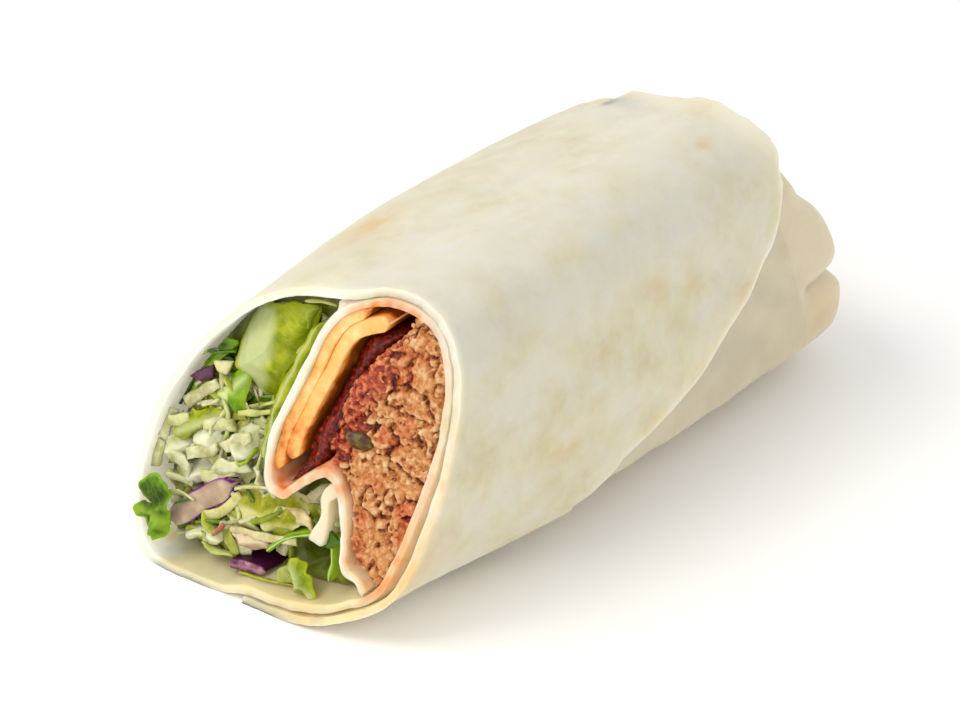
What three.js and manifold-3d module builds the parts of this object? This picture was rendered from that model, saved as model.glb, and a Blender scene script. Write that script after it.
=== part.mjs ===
// Taco meat wrap: half of a rolled flour tortilla, cut across and lying on its flat underside.
// Millimetres, +Z up. The cut face looks towards -Y and the tucked end is at +Y.
// Sections are drawn as [x, z] on the cut face, x across and z up from the table.

import * as THREE from "three";
import Module from "manifold-3d";

const wasm = await Module();
wasm.setup();

// Driving dimensions
const sheetThickness = 1.5; // rolled flour tortilla
const clearance = 0.35; // air between a filling and what it touches
const cutLean = 0.4; // the cut face leans back by this much for each mm of height
const cutTurn = 0.05; // and by this much for each mm across
const packedLength = 134; // the fillings end here at table height
const packedLean = 0.35; // and this much sooner for each mm of height
const rollHeight = 63;
const rollMiddle = [-2, 30]; // the point that the tucked end closes on
const swellWide = 0.05; // the roll is this share wider from its middle on
const swellHigh = 0.02; // and this share higher
const lowerBulge = 6; // its lower right side bulges by this much towards the tucked end
const leftBulge = 1.8; // and its upper left side in the middle
const tablePress = 0.2; // the underside is pressed flat by this much
const cutLift = 1; // its right half stands this much off the table at the cut
const settling = 1.9; // and lies this much lower behind the flap's rim, with one layer less
const tuckDepth = 15; // length of the tucked end beyond the fillings, at the bottom
const tuckSlope = 10; // what its top lacks of that
const tuckBulge = 8.5; // and what its middle adds
const creaseHeight = 22; // the fold line across the tucked end
const creaseDepth = 4.5;
const creaseWidth = 3;
const cheeseThickness = 2.6;
const fillingEnd = 0.95; // the share of the packed length that the fillings take
const cheeseRecess = 1.2; // how far behind the cut each filling starts
const sauceRecess = 4;
const meatRecess = 1.2;
const saladRecess = 10.5; // behind the leaves and strips that show at the cut
const crumbSize = 2.5; // radius of a crumb of minced beef
const crumbStep = 4.4; // and their spacing
const crumbShift = 1.6; // each is moved at random within this much
const saladFront = 3; // nothing loose shows in front of this depth
const shredCount = 20; // loose shreds that show between the larger pieces of salad
const leafThickness = 1;

const colours = {
  tortilla: 0xf0e8d2,
  cheese: 0xf6a63c,
  meat: 0xa86b42,
  sauce: 0x8c1d10,
  pepper: 0x5d6127,
  lettuce: 0xa9c24a,
  romaine: 0x3f7a1f,
  cabbage: 0xe4ecc8,
  onion: 0xd9b3cf,
};

// The sheet's inner turn, from the tip of its folded foot, up round an arch, up between meat and
// salad, over the cheese, down the right side, along the underside and up the left side
const innerTurn = [
  [21.2, 10.2], [18.8, 11.6], [15.5, 13], [13.9, 17], [12.4, 21.5], [10, 26],
  [6.2, 28], [2.2, 25.4], [-2, 21.6], [-5, 22], [-6.9, 26.5], [-7, 32],
  [-5.2, 38.5], [-3.2, 45.5], [-1.8, 51], [1, 55.6], [5, 58.4], [10, 60.4],
  [15, 61], [20, 60.2], [24, 57.6], [27, 53], [28.6, 47], [29.2, 41],
  [28.9, 34], [27.6, 25], [25.9, 17], [24.2, 11.8], [21.8, 8.9], [18.3, 6.9],
  [13.5, 4.3], [8.5, 3.1], [3, 2.7], [-4.5, 2.65], [-10, 1.3], [-15, 0.75], [-20, 0.75], [-27.6, 1.3],
  [-31.6, 4.4], [-34, 9.4], [-35.1, 17], [-34.8, 25], [-32, 33.8], [-26.6, 43.2],
  [-18.2, 51.8], [-8.4, 57],
];
// The outer turn lies over it: x, z and how far along the roll its round rim reaches
const outerTurn = [
  [0, 58.9, 121.5], [5, 60.4, 122], [10, 62.2, 121.3], [15, 62.8, 120.3], [20.5, 62, 120.3],
  [25, 59.2, 121], [28.6, 54.2, 120], [30.5, 47.8, 118], [31.4, 41, 114], [31.6, 34, 105],
  [30.6, 25, 88], [29.2, 17, 65], [27, 11.2, 57], [23.8, 7.7, 50], [18.3, 4.4, 36],
  [13, 1.9, 24], [8.4, 0.75, 16], [2.5, 0.75, 10], [-5, 0.75, 6],
];
// A short pleat of the sheet that hangs under the arch
const pleat = [[11.4, 24], [8.4, 24.6], [6.4, 23.2], [7.2, 20], [7.2, 16.4]];

const intoTuck = 1.02; // the sheet's inner turns end this share along, inside the tucked end
const rowShares = [0, 0.09, 0.25, 0.43, 0.62, 0.82, 1].map(
  (share) => share * intoTuck,
);

const foldTop = 15; // indices along innerTurn: where the divider reaches the top
const rightFoot = 28; // where the right side turns under
const topLeft = innerTurn.length - 1;

function seededRandom(seed) {
  let state = seed;
  return () => {
    state = (state + 0x6d2b79f5) | 0;
    let t = Math.imul(state ^ (state >>> 15), 1 | state);
    t = (t + Math.imul(t ^ (t >>> 7), 61 | t)) ^ t;
    return ((t ^ (t >>> 14)) >>> 0) / 4294967296;
  };
}

// Places a point of the roll: x across, z up, along = 0 at the cut and 1 where the fillings end
function place(x, z, along) {
  const { smoothstep, clamp } = THREE.MathUtils;
  const cut = cutTurn * x + cutLean * z;
  const end = packedLength - packedLean * z;
  const y = cut + (end - cut) * along;
  const inRoll = clamp(along, 0, 1);
  const grown = smoothstep(along, 0, 0.5);
  const lowRight = smoothstep(x, 0, 26) * (1 - smoothstep(z, 5, 45));
  const highLeft = (1 - smoothstep(x, -25, 10)) * smoothstep(z, 15, 50);
  const wobble = 0.5 * Math.sin(y / 13 + z / 17) * inRoll;
  const aside = lowerBulge * lowRight * smoothstep(along, 0, 0.6) + wobble;
  const out = leftBulge * highLeft * Math.sin(Math.PI * inRoll);
  const low = 1 - smoothstep(z, 3, 20);
  const lifted = cutLift * smoothstep(x, 0, 10) * (1 - smoothstep(along, 0, 0.25));
  const doubled = smoothstep(x, -10, -4) * (1 - smoothstep(x, 10, 24));
  const settled = settling * doubled * smoothstep(along, 0.25, 0.43);
  return new THREE.Vector3(
    x * (1 + swellWide * grown) + aside - out * 0.8,
    y,
    Math.max(z * (1 + swellHigh * grown) + out - tablePress + low * (lifted - settled), 0),
  );
}

// The share of the roll's length that a depth in mm behind the cut face comes to
function alongAt(x, z, depth) {
  const cut = cutTurn * x + cutLean * z;
  return depth / (packedLength - packedLean * z - cut);
}

// A closed solid from points and triangles, turned outwards
function solidOf(points, faces) {
  let volume = 0;
  for (const [a, b, c] of faces) {
    volume += points[a].dot(points[b].clone().cross(points[c]));
  }
  const order = volume > 0 ? [0, 1, 2] : [0, 2, 1];
  const triVerts = new Uint32Array(faces.flatMap((face) => order.map((i) => face[i])));
  const vertProperties = new Float32Array(points.flatMap((p) => p.toArray()));
  return new wasm.Manifold(new wasm.Mesh({ numProp: 3, vertProperties, triVerts }));
}

// Joins rings of equal length into a closed body, with the given triangles on its two ends
function loft(rings, capFaces, endFaces = capFaces) {
  const count = rings[0].length;
  const last = (rings.length - 1) * count;
  const faces = capFaces.map(([a, b, c]) => [a, c, b]);
  faces.push(...endFaces.map(([a, b, c]) => [last + a, last + b, last + c]));
  for (let r = 0; r + 1 < rings.length; r++) {
    for (let i = 0; i < count; i++) {
      const a = r * count + i;
      const b = r * count + ((i + 1) % count);
      faces.push([a, b, b + count], [a, b + count, a + count]);
    }
  }
  return solidOf(rings.flat(), faces);
}

// Triangles that close a section, turned the way its points run
function capOf(section) {
  const shape = section.map(([x, z]) => new THREE.Vector2(x, z));
  const faces = THREE.ShapeUtils.triangulateShape(shape, []);
  const forward = faces.some((face) => face.some((a, i) => face[(i + 1) % 3] === a + 1));
  const backward = faces.some((face) => face.some((a, i) => face[(i + 1) % 3] === a - 1));
  return backward && !forward ? faces.map(([a, b, c]) => [a, c, b]) : faces;
}

// A smooth line through section points, with the unit normal to the left of its travel
function smoothLine(points, perSpan) {
  const curve = new THREE.CatmullRomCurve3(points.map(([x, z]) => new THREE.Vector3(x, 0, z)));
  const steps = (points.length - 1) * perSpan;
  return Array.from({ length: steps + 1 }, (_, i) => {
    const at = curve.getPoint(i / steps);
    const heading = curve.getTangent(i / steps);
    return { x: at.x, z: at.z, nx: -heading.z, nz: heading.x };
  });
}

function offsetLine(line, offset) {
  return line.map((p) => [p.x + p.nx * offset, p.z + p.nz * offset]);
}

// A band of even thickness that follows a section line and runs along the roll; rowsAt gives the
// shares of the roll's length at which a column has its rings
function band(line, thickness, rowsAt) {
  const count = line.length;
  const outline = [...offsetLine(line, thickness / 2), ...offsetLine(line, -thickness / 2).reverse()];
  const capFaces = [];
  for (let i = 0; i + 1 < count; i++) {
    const back = 2 * count - 1 - i;
    capFaces.push([i, i + 1, back - 1], [i, back - 1, back]);
  }
  const columns = outline.map(([x, z], i) => {
    const rows = rowsAt(x, z, i < count ? i : 2 * count - 1 - i);
    return rows.map((along) => place(x, z, along));
  });
  const rings = columns[0].map((_, r) => columns.map((column) => column[r]));
  return loft(rings, capFaces);
}

// A filling with the given closed section that runs from a depth behind the cut to the roll's end
function filling(section, depth) {
  const columns = section.map(([x, z]) => fillingRows(x, z, depth).map((along) => place(x, z, along)));
  const rings = columns[0].map((_, r) => columns.map((column) => column[r]));
  const ends = [rings[0], rings[rings.length - 1]];
  return loft(rings, ...ends.map((ring) => capOf(ring.map((p) => [p.x, p.z]))));
}

// Fillings share the sheet's rings from a sixth of the length on, so that neither cuts the other
function fillingRows(x, z, depth) {
  const between = rowShares.filter((along) => along > 0.17 && along < fillingEnd);
  return [alongAt(x, z, depth), ...between, fillingEnd];
}

function smoothLoop(points, count) {
  const curve = new THREE.CatmullRomCurve3(
    points.map(([x, z]) => new THREE.Vector3(x, 0, z)),
    true,
  );
  return Array.from({ length: count }, (_, i) => {
    const at = curve.getPoint(i / count);
    return [at.x, at.z];
  });
}

// A leaf piece that faces the cut: rings inside its outline, both faces split alike
function leaf(shape, grow = 0) {
  const { outline, depth, bulge = 2, ripple = 0.8, waves = 3, thickness = leafThickness } = shape;
  const count = 14;
  const shrinks = [1, 0.55];
  const loop = smoothLoop(outline, count);
  const middle = loop.reduce(([sx, sz], [x, z]) => [sx + x / count, sz + z / count], [0, 0]);
  const points = [];
  for (const side of [-1, 1]) {
    for (const shrink of shrinks) {
      loop.forEach(([x, z], i) => {
        const reach = Math.hypot(x - middle[0], z - middle[1]);
        const scale = shrink * (1 + grow / reach);
        const px = middle[0] + (x - middle[0]) * scale;
        const pz = middle[1] + (z - middle[1]) * scale;
        const lift = bulge * (1 - shrink * shrink);
        const wave = ripple * shrink * Math.sin((2 * Math.PI * waves * i) / count);
        const back = depth - lift + wave + side * (thickness / 2 + grow);
        points.push(place(px, pz, alongAt(px, pz, back)));
      });
    }
    const back = depth - bulge + side * (thickness / 2 + grow);
    points.push(place(...middle, alongAt(...middle, back)));
  }
  const perSide = points.length / 2;
  const faces = [];
  for (let i = 0; i < count; i++) {
    const next = (i + 1) % count;
    const sideFaces = [];
    for (let r = 0; r + 1 < shrinks.length; r++) {
      const [a, b] = [r * count + i, r * count + next];
      sideFaces.push([a, b, b + count], [a, b + count, a + count]);
    }
    const inner = (shrinks.length - 1) * count;
    sideFaces.push([inner + i, inner + next, perSide - 1]);
    for (const [a, b, c] of sideFaces) {
      faces.push([a, b, c], [perSide + a, perSide + c, perSide + b]);
    }
    faces.push([i, perSide + i, perSide + next], [i, perSide + next, next]);
  }
  return solidOf(points, faces);
}

// A strip of leaf, rib or onion seen on its cut edge, running back into the roll
function strip({ line, depth, length, thickness, steps = 2 }, grow = 0) {
  const smooth = smoothLine(line, steps);
  const ends = [smooth[0], smooth[smooth.length - 1]];
  const grown = [
    { ...ends[0], x: ends[0].x - ends[0].nz * grow, z: ends[0].z + ends[0].nx * grow },
    ...smooth.slice(1, -1),
    { ...ends[1], x: ends[1].x + ends[1].nz * grow, z: ends[1].z - ends[1].nx * grow },
  ];
  const rowsAt = (x, z) =>
    [-grow, length + grow].map((back) => alongAt(x, z, depth + back));
  return band(grown, thickness + 2 * grow, rowsAt);
}

// A rounded, uneven lump
function lump(x, z, depth, radii, random, grow = 0) {
  const shape = new THREE.IcosahedronGeometry(1, 0);
  const corner = shape.getAttribute("position");
  const turn = new THREE.Euler(random() * 6, random() * 6, random() * 6);
  const keys = new Map();
  const points = [];
  const index = [];
  for (let i = 0; i < corner.count; i++) {
    const p = new THREE.Vector3().fromBufferAttribute(corner, i);
    const key = p.toArray().map((v) => v.toFixed(3)).join();
    if (!keys.has(key)) {
      keys.set(key, points.length);
      const uneven = 0.8 + 0.4 * random();
      p.applyEuler(turn).multiplyScalar(uneven);
      p.multiply(new THREE.Vector3(...radii).addScalar(grow));
      points.push(p.add(place(x, z, alongAt(x, z, depth))));
    }
    index.push(keys.get(key));
  }
  const faces = [];
  for (let i = 0; i < index.length; i += 3) {
    faces.push(index.slice(i, i + 3));
  }
  return solidOf(points, faces);
}

// The biggest single body of a solid: what a cut leaves loose is dropped
function mainBody(solid) {
  return solid.decompose().reduce((best, body) => (body.volume() > best.volume() ? body : best));
}

function named(name, solid, color, roughness) {
  const made = mainBody(solid).getMesh();
  const geometry = new THREE.BufferGeometry();
  geometry.setAttribute("position", new THREE.BufferAttribute(made.vertProperties, 3));
  geometry.setIndex(new THREE.BufferAttribute(made.triVerts, 1));
  geometry.computeVertexNormals();
  const material = new THREE.MeshStandardMaterial({ color, roughness, metalness: 0 });
  const mesh = new THREE.Mesh(geometry, material);
  mesh.name = name;
  return mesh;
}

const stepsPerSpan = 2;
const sheetLine = smoothLine([...innerTurn, ...outerTurn], stepsPerSpan);
const turnStart = topLeft * stepsPerSpan;

function sheetPart(first, last) {
  return sheetLine.slice(first * stepsPerSpan, last * stepsPerSpan + 1);
}

// How far along the roll the sheet reaches at a column: into the tucked end, or to its round rim
function sheetReach(x, z, column) {
  const span = (column - turnStart) / stepsPerSpan;
  if (span <= 0) {
    return intoTuck;
  }
  const lower = Math.min(Math.max(Math.ceil(span) - 1, 0), outerTurn.length - 1);
  const from = lower === 0 ? outerTurn[0][2] : outerTurn[lower - 1][2];
  const rim = THREE.MathUtils.lerp(from, outerTurn[lower][2], span - lower);
  const cut = cutTurn * x + cutLean * z;
  return (rim - cut) / (packedLength - packedLean * z - cut);
}

// The tucked end: the roll's outline closes on its middle, with one fold line across
function tuckedEnd() {
  const outline = offsetLine(sheetPart(foldTop + 1, topLeft), 0.4);
  const [cx, cz] = rollMiddle;
  const shares = [-0.15, 0, 0.2, 0.42, 0.62, 0.78, 0.9, 0.97];
  const rings = shares.map((share) => {
    const out = Math.max(share, 0);
    const shrink = (1 - out ** 5) ** (1 / 3); // full at first, then closing fast
    return outline.map(([x, z]) => {
      const px = cx + (x - cx) * shrink;
      const pz = cz + (z - cz) * shrink;
      const high = THREE.MathUtils.smoothstep(pz, 25, rollHeight);
      const depth = tuckDepth - tuckSlope * high + tuckBulge * Math.sin((Math.PI * pz) / rollHeight);
      const nearCrease = Math.exp(-(((pz - creaseHeight) / creaseWidth) ** 2));
      const crease = creaseDepth * nearCrease * THREE.MathUtils.smoothstep(px, -30, 10);
      const at = place(px - crease * 0.5 * out, pz, 1);
      at.y += depth * share - crease * out;
      return at;
    });
  });
  return loft(rings, capOf(outline));
}

function tortilla() {
  const sheetRows = (x, z, column) => {
    const reach = sheetReach(x, z, column);
    return rowShares.map((along) => (along * reach) / intoTuck);
  };
  const sheet = band(sheetLine, sheetThickness, sheetRows);
  const hangingPleat = band(smoothLine(pleat, 3), sheetThickness, () => rowShares);
  return sheet.add(hangingPleat).add(tuckedEnd());
}

// The cheese lies on the divider, one slice on the other
function cheese(layer, first, last) {
  const offset = -(sheetThickness / 2 + clearance + (layer + 0.5) * cheeseThickness + layer * clearance);
  const line = sheetPart(first, last).map((p) => ({
    ...p,
    x: p.x + p.nx * offset,
    z: p.z + p.nz * offset,
  }));
  return band(line, cheeseThickness, (x, z) => fillingRows(x, z, cheeseRecess));
}

// The sides of the two rooms that the sheet makes, as seen on the cut
const wallGap = sheetThickness / 2 + clearance;
const meatRoom = offsetLine(sheetPart(0, rightFoot), -wallGap);
const saladRoom = [
  ...offsetLine(sheetPart(1, foldTop), wallGap),
  ...offsetLine(sheetPart(rightFoot + 2, topLeft + 1), -wallGap).reverse(),
];

// Between the cheese and the meat a hollow stays open, with red sauce in its depth
const cheeseFace = -(wallGap + 2 * cheeseThickness + 2 * clearance);
const meatEdge = [[16.4, 57.5], [13.4, 53.6], [10.2, 49.6], [7.3, 45.2], [5.9, 40], [5.4, 35], [4.6, 31.6]];
const sauceEdge = meatEdge.map(([x, z]) => [x - clearance, z + clearance / 2]);
const sauceRoom = [
  ...offsetLine(sheetPart(10, 15), cheeseFace),
  ...sauceEdge.slice(1),
  ...offsetLine(sheetPart(6.5, 8), -wallGap),
];

// The minced beef: a core that fills the room from the foot of the fold up to the top of the right
// side, with the crumbs that show at the cut on it
function meat(random) {
  const archTop = 6 * stepsPerSpan;
  const topRight = 18 * stepsPerSpan;
  const body = [...meatRoom.slice(0, archTop), ...[...meatEdge].reverse(), ...meatRoom.slice(topRight)];
  let crumbs = filling(body, meatRecess + crumbSize);
  const [left, right, bottom, top] = [6, 28, 12, 58];
  for (let z = bottom; z < top; z += crumbStep) {
    for (let x = left; x < right; x += crumbStep) {
      const radii = [1, 1, 1].map(() => crumbSize * (0.75 + 0.6 * random()));
      const px = x + crumbShift * (random() - 0.5);
      const pz = z + crumbShift * (random() - 0.5);
      crumbs = crumbs.add(lump(px, pz, meatRecess + crumbSize, radii, random));
    }
  }
  return crumbs.intersect(filling(body, 0));
}

// A piece of green pepper that lies in the sauce
const pepperAt = [11.6, 35, 1.4]; // across, up and behind the cut
const pepperRadii = [3.2, 2.2, 2.6];

// Pieces of the salad large enough to tell apart, front ones first. An outline makes a leaf that
// faces the cut, a line makes a strip that shows its cut edge and runs back into the roll.
const saladPieces = {
  romaine_leaf_left: {
    outline: [
      [-33.2, 9], [-32.4, 14.8], [-29.2, 17.2], [-26.6, 14.5], [-25.6, 9.1], [-26.6, 5.6], [-30.4, 6],
    ],
    depth: -1.3, bulge: 0.4, ripple: 0.5, waves: 4, thickness: 0.8, colour: colours.romaine,
  },
  red_onion_strip_large: {
    line: [[-26.6, 7.6], [-21.2, 12.4], [-15.6, 17.6]],
    depth: 2.2, length: 14, thickness: 4.4, colour: colours.onion,
  },
  lettuce_strip_divider: {
    line: [[-4.6, 51], [-6.2, 45], [-8, 39], [-9.1, 34], [-9.2, 29.5], [-8.8, 25]],
    depth: 2, length: 30, thickness: 2.2, colour: colours.lettuce,
  },
  lettuce_leaf_curled: {
    outline: [
      [-22.4, 42], [-21.6, 47.4], [-17, 50], [-11.7, 51.8], [-7, 52], [-7.6, 47], [-9.8, 41.5],
      [-11.6, 36], [-14.3, 31.8], [-18.3, 33], [-21.4, 37.4],
    ],
    depth: 6.5, bulge: 3, ripple: 0.7, waves: 2, thickness: 1.2, colour: colours.lettuce,
  },
  romaine_leaf_upper: {
    outline: [
      [-32, 26.8], [-31.2, 31.5], [-28.8, 36.5], [-25, 41.6], [-22.9, 41], [-25, 37.5],
      [-28, 33.2], [-30, 28.6],
    ],
    depth: 6, bulge: 1, ripple: 0.8, waves: 5, colour: colours.romaine,
  },
  romaine_leaf_wedge: {
    outline: [[-27.6, 33.6], [-23.1, 35.2], [-18.6, 32], [-18.8, 29.4], [-23.5, 28.4]],
    depth: 6.5, bulge: 1.4, ripple: 0.5, waves: 3, colour: colours.romaine,
  },
  lettuce_leaf_middle: {
    outline: [[-31.5, 22.6], [-28.6, 26.6], [-21.3, 28.6], [-20.8, 27], [-25.5, 24.6], [-29.5, 21.8]],
    depth: 5, bulge: 0.8, ripple: 0.5, waves: 3, colour: colours.lettuce,
  },
  cabbage_piece_middle: {
    outline: [[-28, 21.6], [-25.1, 24.4], [-20, 26.4], [-19.2, 21.8], [-25.5, 18.8]],
    depth: 5, bulge: 1.5, ripple: 0.3, waves: 3, thickness: 2.2, colour: colours.cabbage,
  },
  cabbage_piece_right: {
    outline: [[-18.4, 25.7], [-17.3, 28], [-12.6, 28], [-11.8, 22.4], [-16.5, 20.6]],
    depth: 4.6, bulge: 1.5, ripple: 0.3, waves: 3, thickness: 2.2, colour: colours.cabbage,
  },
  cabbage_piece_left: {
    outline: [[-33, 18.2], [-31.2, 20.6], [-28.8, 20.8], [-27.8, 18], [-31.4, 16]],
    depth: 4.6, bulge: 1, ripple: 0.3, waves: 3, thickness: 1.6, colour: colours.cabbage,
  },
  cabbage_piece_lower: {
    outline: [[-30, 14], [-26.4, 17.4], [-20.9, 19.2], [-21.8, 16.9], [-27.4, 13.6]],
    depth: 5.4, bulge: 1, ripple: 0.3, waves: 3, thickness: 1.6, colour: colours.cabbage,
  },
  lettuce_leaf_lower: {
    outline: [
      [-16.6, 12.2], [-12, 16.4], [-5.9, 18.4], [0.8, 18.2], [1.6, 14.6], [-6, 11.4], [-13.4, 10.4],
    ],
    depth: 4.5, bulge: 2.4, ripple: 0.9, waves: 4, thickness: 1.4, colour: colours.lettuce,
  },
  red_onion_piece_middle: {
    outline: [[-15.6, 6.4], [-12.6, 9], [-6.3, 10.1], [-6.5, 7.6], [-12.5, 5.6]],
    depth: 4.6, bulge: 1, ripple: 0.3, waves: 3, thickness: 1.5, colour: colours.onion,
  },
  romaine_leaf_hollow: {
    line: [[-4.4, 9.4], [-0.6, 12], [4, 13.6], [8.2, 13.4], [10.4, 10], [10.6, 7.4]],
    depth: 3.4, length: 16, thickness: 1.1, colour: colours.romaine,
  },
  lettuce_rib_lower: {
    outline: [[0.6, 5.4], [2.2, 8.4], [5.7, 9.4], [8.4, 8], [8.8, 6.2], [5.2, 4.9], [2.2, 4]],
    depth: 4.6, bulge: 1.6, ripple: 0.4, waves: 3, thickness: 1.8, colour: colours.lettuce,
  },
  lettuce_rib_left: {
    line: [[-24, 4.4], [-20.4, 6.4], [-16.8, 6.6]],
    depth: 4, length: 10, thickness: 2, colour: colours.lettuce,
  },
  red_onion_piece_lower: {
    line: [[-12.6, 3.1], [-9, 4.4], [-4.4, 4.2]],
    depth: 4, length: 9, thickness: 1.8, colour: colours.onion,
  },
};

const pieceOf = (shape, grow) => (shape.outline ? leaf(shape, grow) : strip(shape, grow));

// A heap of shredded lettuce, cabbage and onion behind the larger pieces
function saladHeap(random, larger) {
  let heap = filling(saladRoom, saladRecess);
  for (let i = 0; i < shredCount; i++) {
    const [x, z] = [-33 + 44 * random(), 3 + 50 * random()];
    const heading = 2 * Math.PI * random();
    const half = 2.5 + 2.5 * random();
    const [dx, dz] = [half * Math.cos(heading), half * Math.sin(heading)];
    const bend = 2 * (random() - 0.5);
    const line = [[x - dx, z - dz], [x + bend, z + bend], [x + dx, z + dz]];
    const [depth, thickness] = [6 + 3 * random(), 1.3 + 1.2 * random()];
    heap = heap.add(strip({ line, depth, length: 6, thickness, steps: 1 }));
  }
  const [endX, endZ] = pleat[pleat.length - 1];
  const pleatLine = smoothLine([...pleat, [endX, endZ - clearance]], 3);
  const pleatRoom = band(pleatLine, sheetThickness + 2 * clearance, () => rowShares);
  return heap.intersect(filling(saladRoom, saladFront)).subtract(pleatRoom).subtract(larger);
}

const random = seededRandom(58);
const group = new THREE.Group();
group.add(named("tortilla", tortilla(), colours.tortilla, 0.75));
group.add(named("cheese_slice_back", cheese(0, 9.5, 16), colours.cheese, 0.4));
group.add(named("cheese_slice_front", cheese(1, 10, 17), colours.cheese, 0.4));
const pepper = (grow) => lump(...pepperAt, pepperRadii, seededRandom(7), grow);
group.add(named("pepper_piece", pepper(0), colours.pepper, 0.3));
group.add(named("taco_meat", meat(random).subtract(pepper(clearance)), colours.meat, 0.6));
group.add(named("red_sauce", filling(sauceRoom, sauceRecess), colours.sauce, 0.2));

let placed = null;
for (const [name, shape] of Object.entries(saladPieces)) {
  const solid = pieceOf(shape, 0);
  const fitted = shape.depth < 0 ? solid : solid.intersect(filling(saladRoom, 1));
  group.add(named(name, placed ? fitted.subtract(placed) : fitted, shape.colour, 0.5));
  const room = pieceOf(shape, clearance);
  placed = placed ? placed.add(room) : room;
}
group.add(named("salad_heap", saladHeap(random, placed), colours.cabbage, 0.5));

const bounds = new THREE.Box3().setFromObject(group);
const middle = bounds.getCenter(new THREE.Vector3());
group.position.set(-middle.x, -middle.y, -bounds.min.z);

export default group;
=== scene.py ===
import math
import random
import bpy
import bmesh
import numpy as np
from mathutils import Euler, Matrix, Vector
from mathutils.geometry import delaunay_2d_cdt


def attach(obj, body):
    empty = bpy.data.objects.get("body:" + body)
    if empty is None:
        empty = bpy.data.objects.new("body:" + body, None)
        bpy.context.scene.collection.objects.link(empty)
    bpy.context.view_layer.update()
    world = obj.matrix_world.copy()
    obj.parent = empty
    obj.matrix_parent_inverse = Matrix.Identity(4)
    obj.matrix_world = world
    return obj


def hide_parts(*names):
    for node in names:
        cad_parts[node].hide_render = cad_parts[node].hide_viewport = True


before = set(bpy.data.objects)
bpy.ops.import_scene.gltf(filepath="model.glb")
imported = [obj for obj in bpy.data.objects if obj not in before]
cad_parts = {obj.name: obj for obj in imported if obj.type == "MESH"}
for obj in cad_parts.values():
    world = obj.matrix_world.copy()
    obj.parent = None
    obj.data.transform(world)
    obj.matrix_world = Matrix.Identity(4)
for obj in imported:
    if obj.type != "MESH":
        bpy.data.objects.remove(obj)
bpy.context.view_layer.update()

mm = 0.001
rollOrigin = np.array([-0.909, 73.868, 0.0])  # the part's origin, on the roll as it is drawn, in mm


camera = {
    "azimuth": 39.7, "elevation": 31.0,  # degrees round and above the roll
    "distance": 860.0,  # mm from the corner of the roll it is aimed by
    "focal": 4558.0, "width": 960, "height": 716,  # pixels
    "sensor": 36.0,  # mm
    "cornerAt": (262.0, 612.0),  # where the drawing's origin shows in the picture
}


def placeCamera(c):
    a, e = math.radians(c["azimuth"]), math.radians(c["elevation"])
    right = np.array([math.cos(a), math.sin(a), 0.0])
    back = np.array([math.sin(a) * math.cos(e), -math.cos(a) * math.cos(e), math.sin(e)])
    up = np.cross(back, right)
    across = (c["cornerAt"][0] - c["width"] / 2) / c["focal"] * c["distance"]
    down = (c["cornerAt"][1] - c["height"] / 2) / c["focal"] * c["distance"]
    at = (back * c["distance"] - right * across + up * down - rollOrigin) * mm
    data = bpy.data.cameras.new("camera")
    data.sensor_width = c["sensor"]
    data.lens = data.sensor_width * c["focal"] / c["width"]
    data.clip_start, data.clip_end = 0.05, 10.0
    made = bpy.data.objects.new("camera", data)
    bpy.context.scene.collection.objects.link(made)
    turn = Matrix((right, up, back)).transposed().to_4x4()
    made.matrix_world = Matrix.Translation(at) @ turn
    bpy.context.scene.camera = made


placeCamera(camera)
print("camera placed")


def linearColour(code):  # sRGB hex to linear, as the shader wants it
    parts = [int(code[i:i + 2], 16) / 255 for i in (1, 3, 5)]
    return [c / 12.92 if c <= 0.04045 else ((c + 0.055) / 1.055) ** 2.4 for c in parts] + [1.0]


# one node with its settings, values and links; a Mix node takes its colours in sockets 6 and 7
def addNode(tree, kind, settings=None, inputs=None):
    node = tree.nodes.new("ShaderNode" + kind)
    for name, value in (settings or {}).items():
        if name == "stops":
            ramp = node.color_ramp.elements
            while len(ramp) < len(value):
                ramp.new(1.0)
            for stop, (position, colour) in zip(ramp, value):
                stop.position = position
                stop.color = linearColour(colour) if isinstance(colour, str) else (colour,) * 3 + (1,)
        else:
            setattr(node, name, value)
    for name, value in (inputs or {}).items():
        if isinstance(value, bpy.types.NodeSocket):
            tree.links.new(value, node.inputs[name])
        else:
            node.inputs[name].default_value = linearColour(value) if isinstance(value, str) else value
    return node


def newMaterial(name, surface):  # surface: values for the shader's own sockets
    material = bpy.data.materials.new(name)
    material.use_nodes = True
    tree = material.node_tree
    shader = tree.nodes["Principled BSDF"]
    for socket, value in surface.items():
        shader.inputs[socket].default_value = linearColour(value) if isinstance(value, str) else value
    place = addNode(tree, "TexCoord").outputs["Object"]
    return material, tree, shader, place


studio = {
    "world": ("#ffffff", 0.76),
    "key": {"at": (-0.55, -0.75, 1.1), "size": 0.9, "watts": 10.2, "colour": "#fff8ee"},
    "front": {"at": (-0.2, -1.25, 0.35), "size": 0.5, "watts": 2.2, "colour": "#fffaf2"},
    "fill": {"at": (0.9, -0.7, 0.7), "size": 1.0, "watts": 3.5, "colour": "#fffaf4"},
    "floor": "#fdfdfd", "floorFlecks": "#fafafa",
    "sweep": {"half": 3.0, "flat": 1.2, "bend": 0.8, "rise": 1.6, "steps": 12},  # m, swept up behind
}


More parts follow.
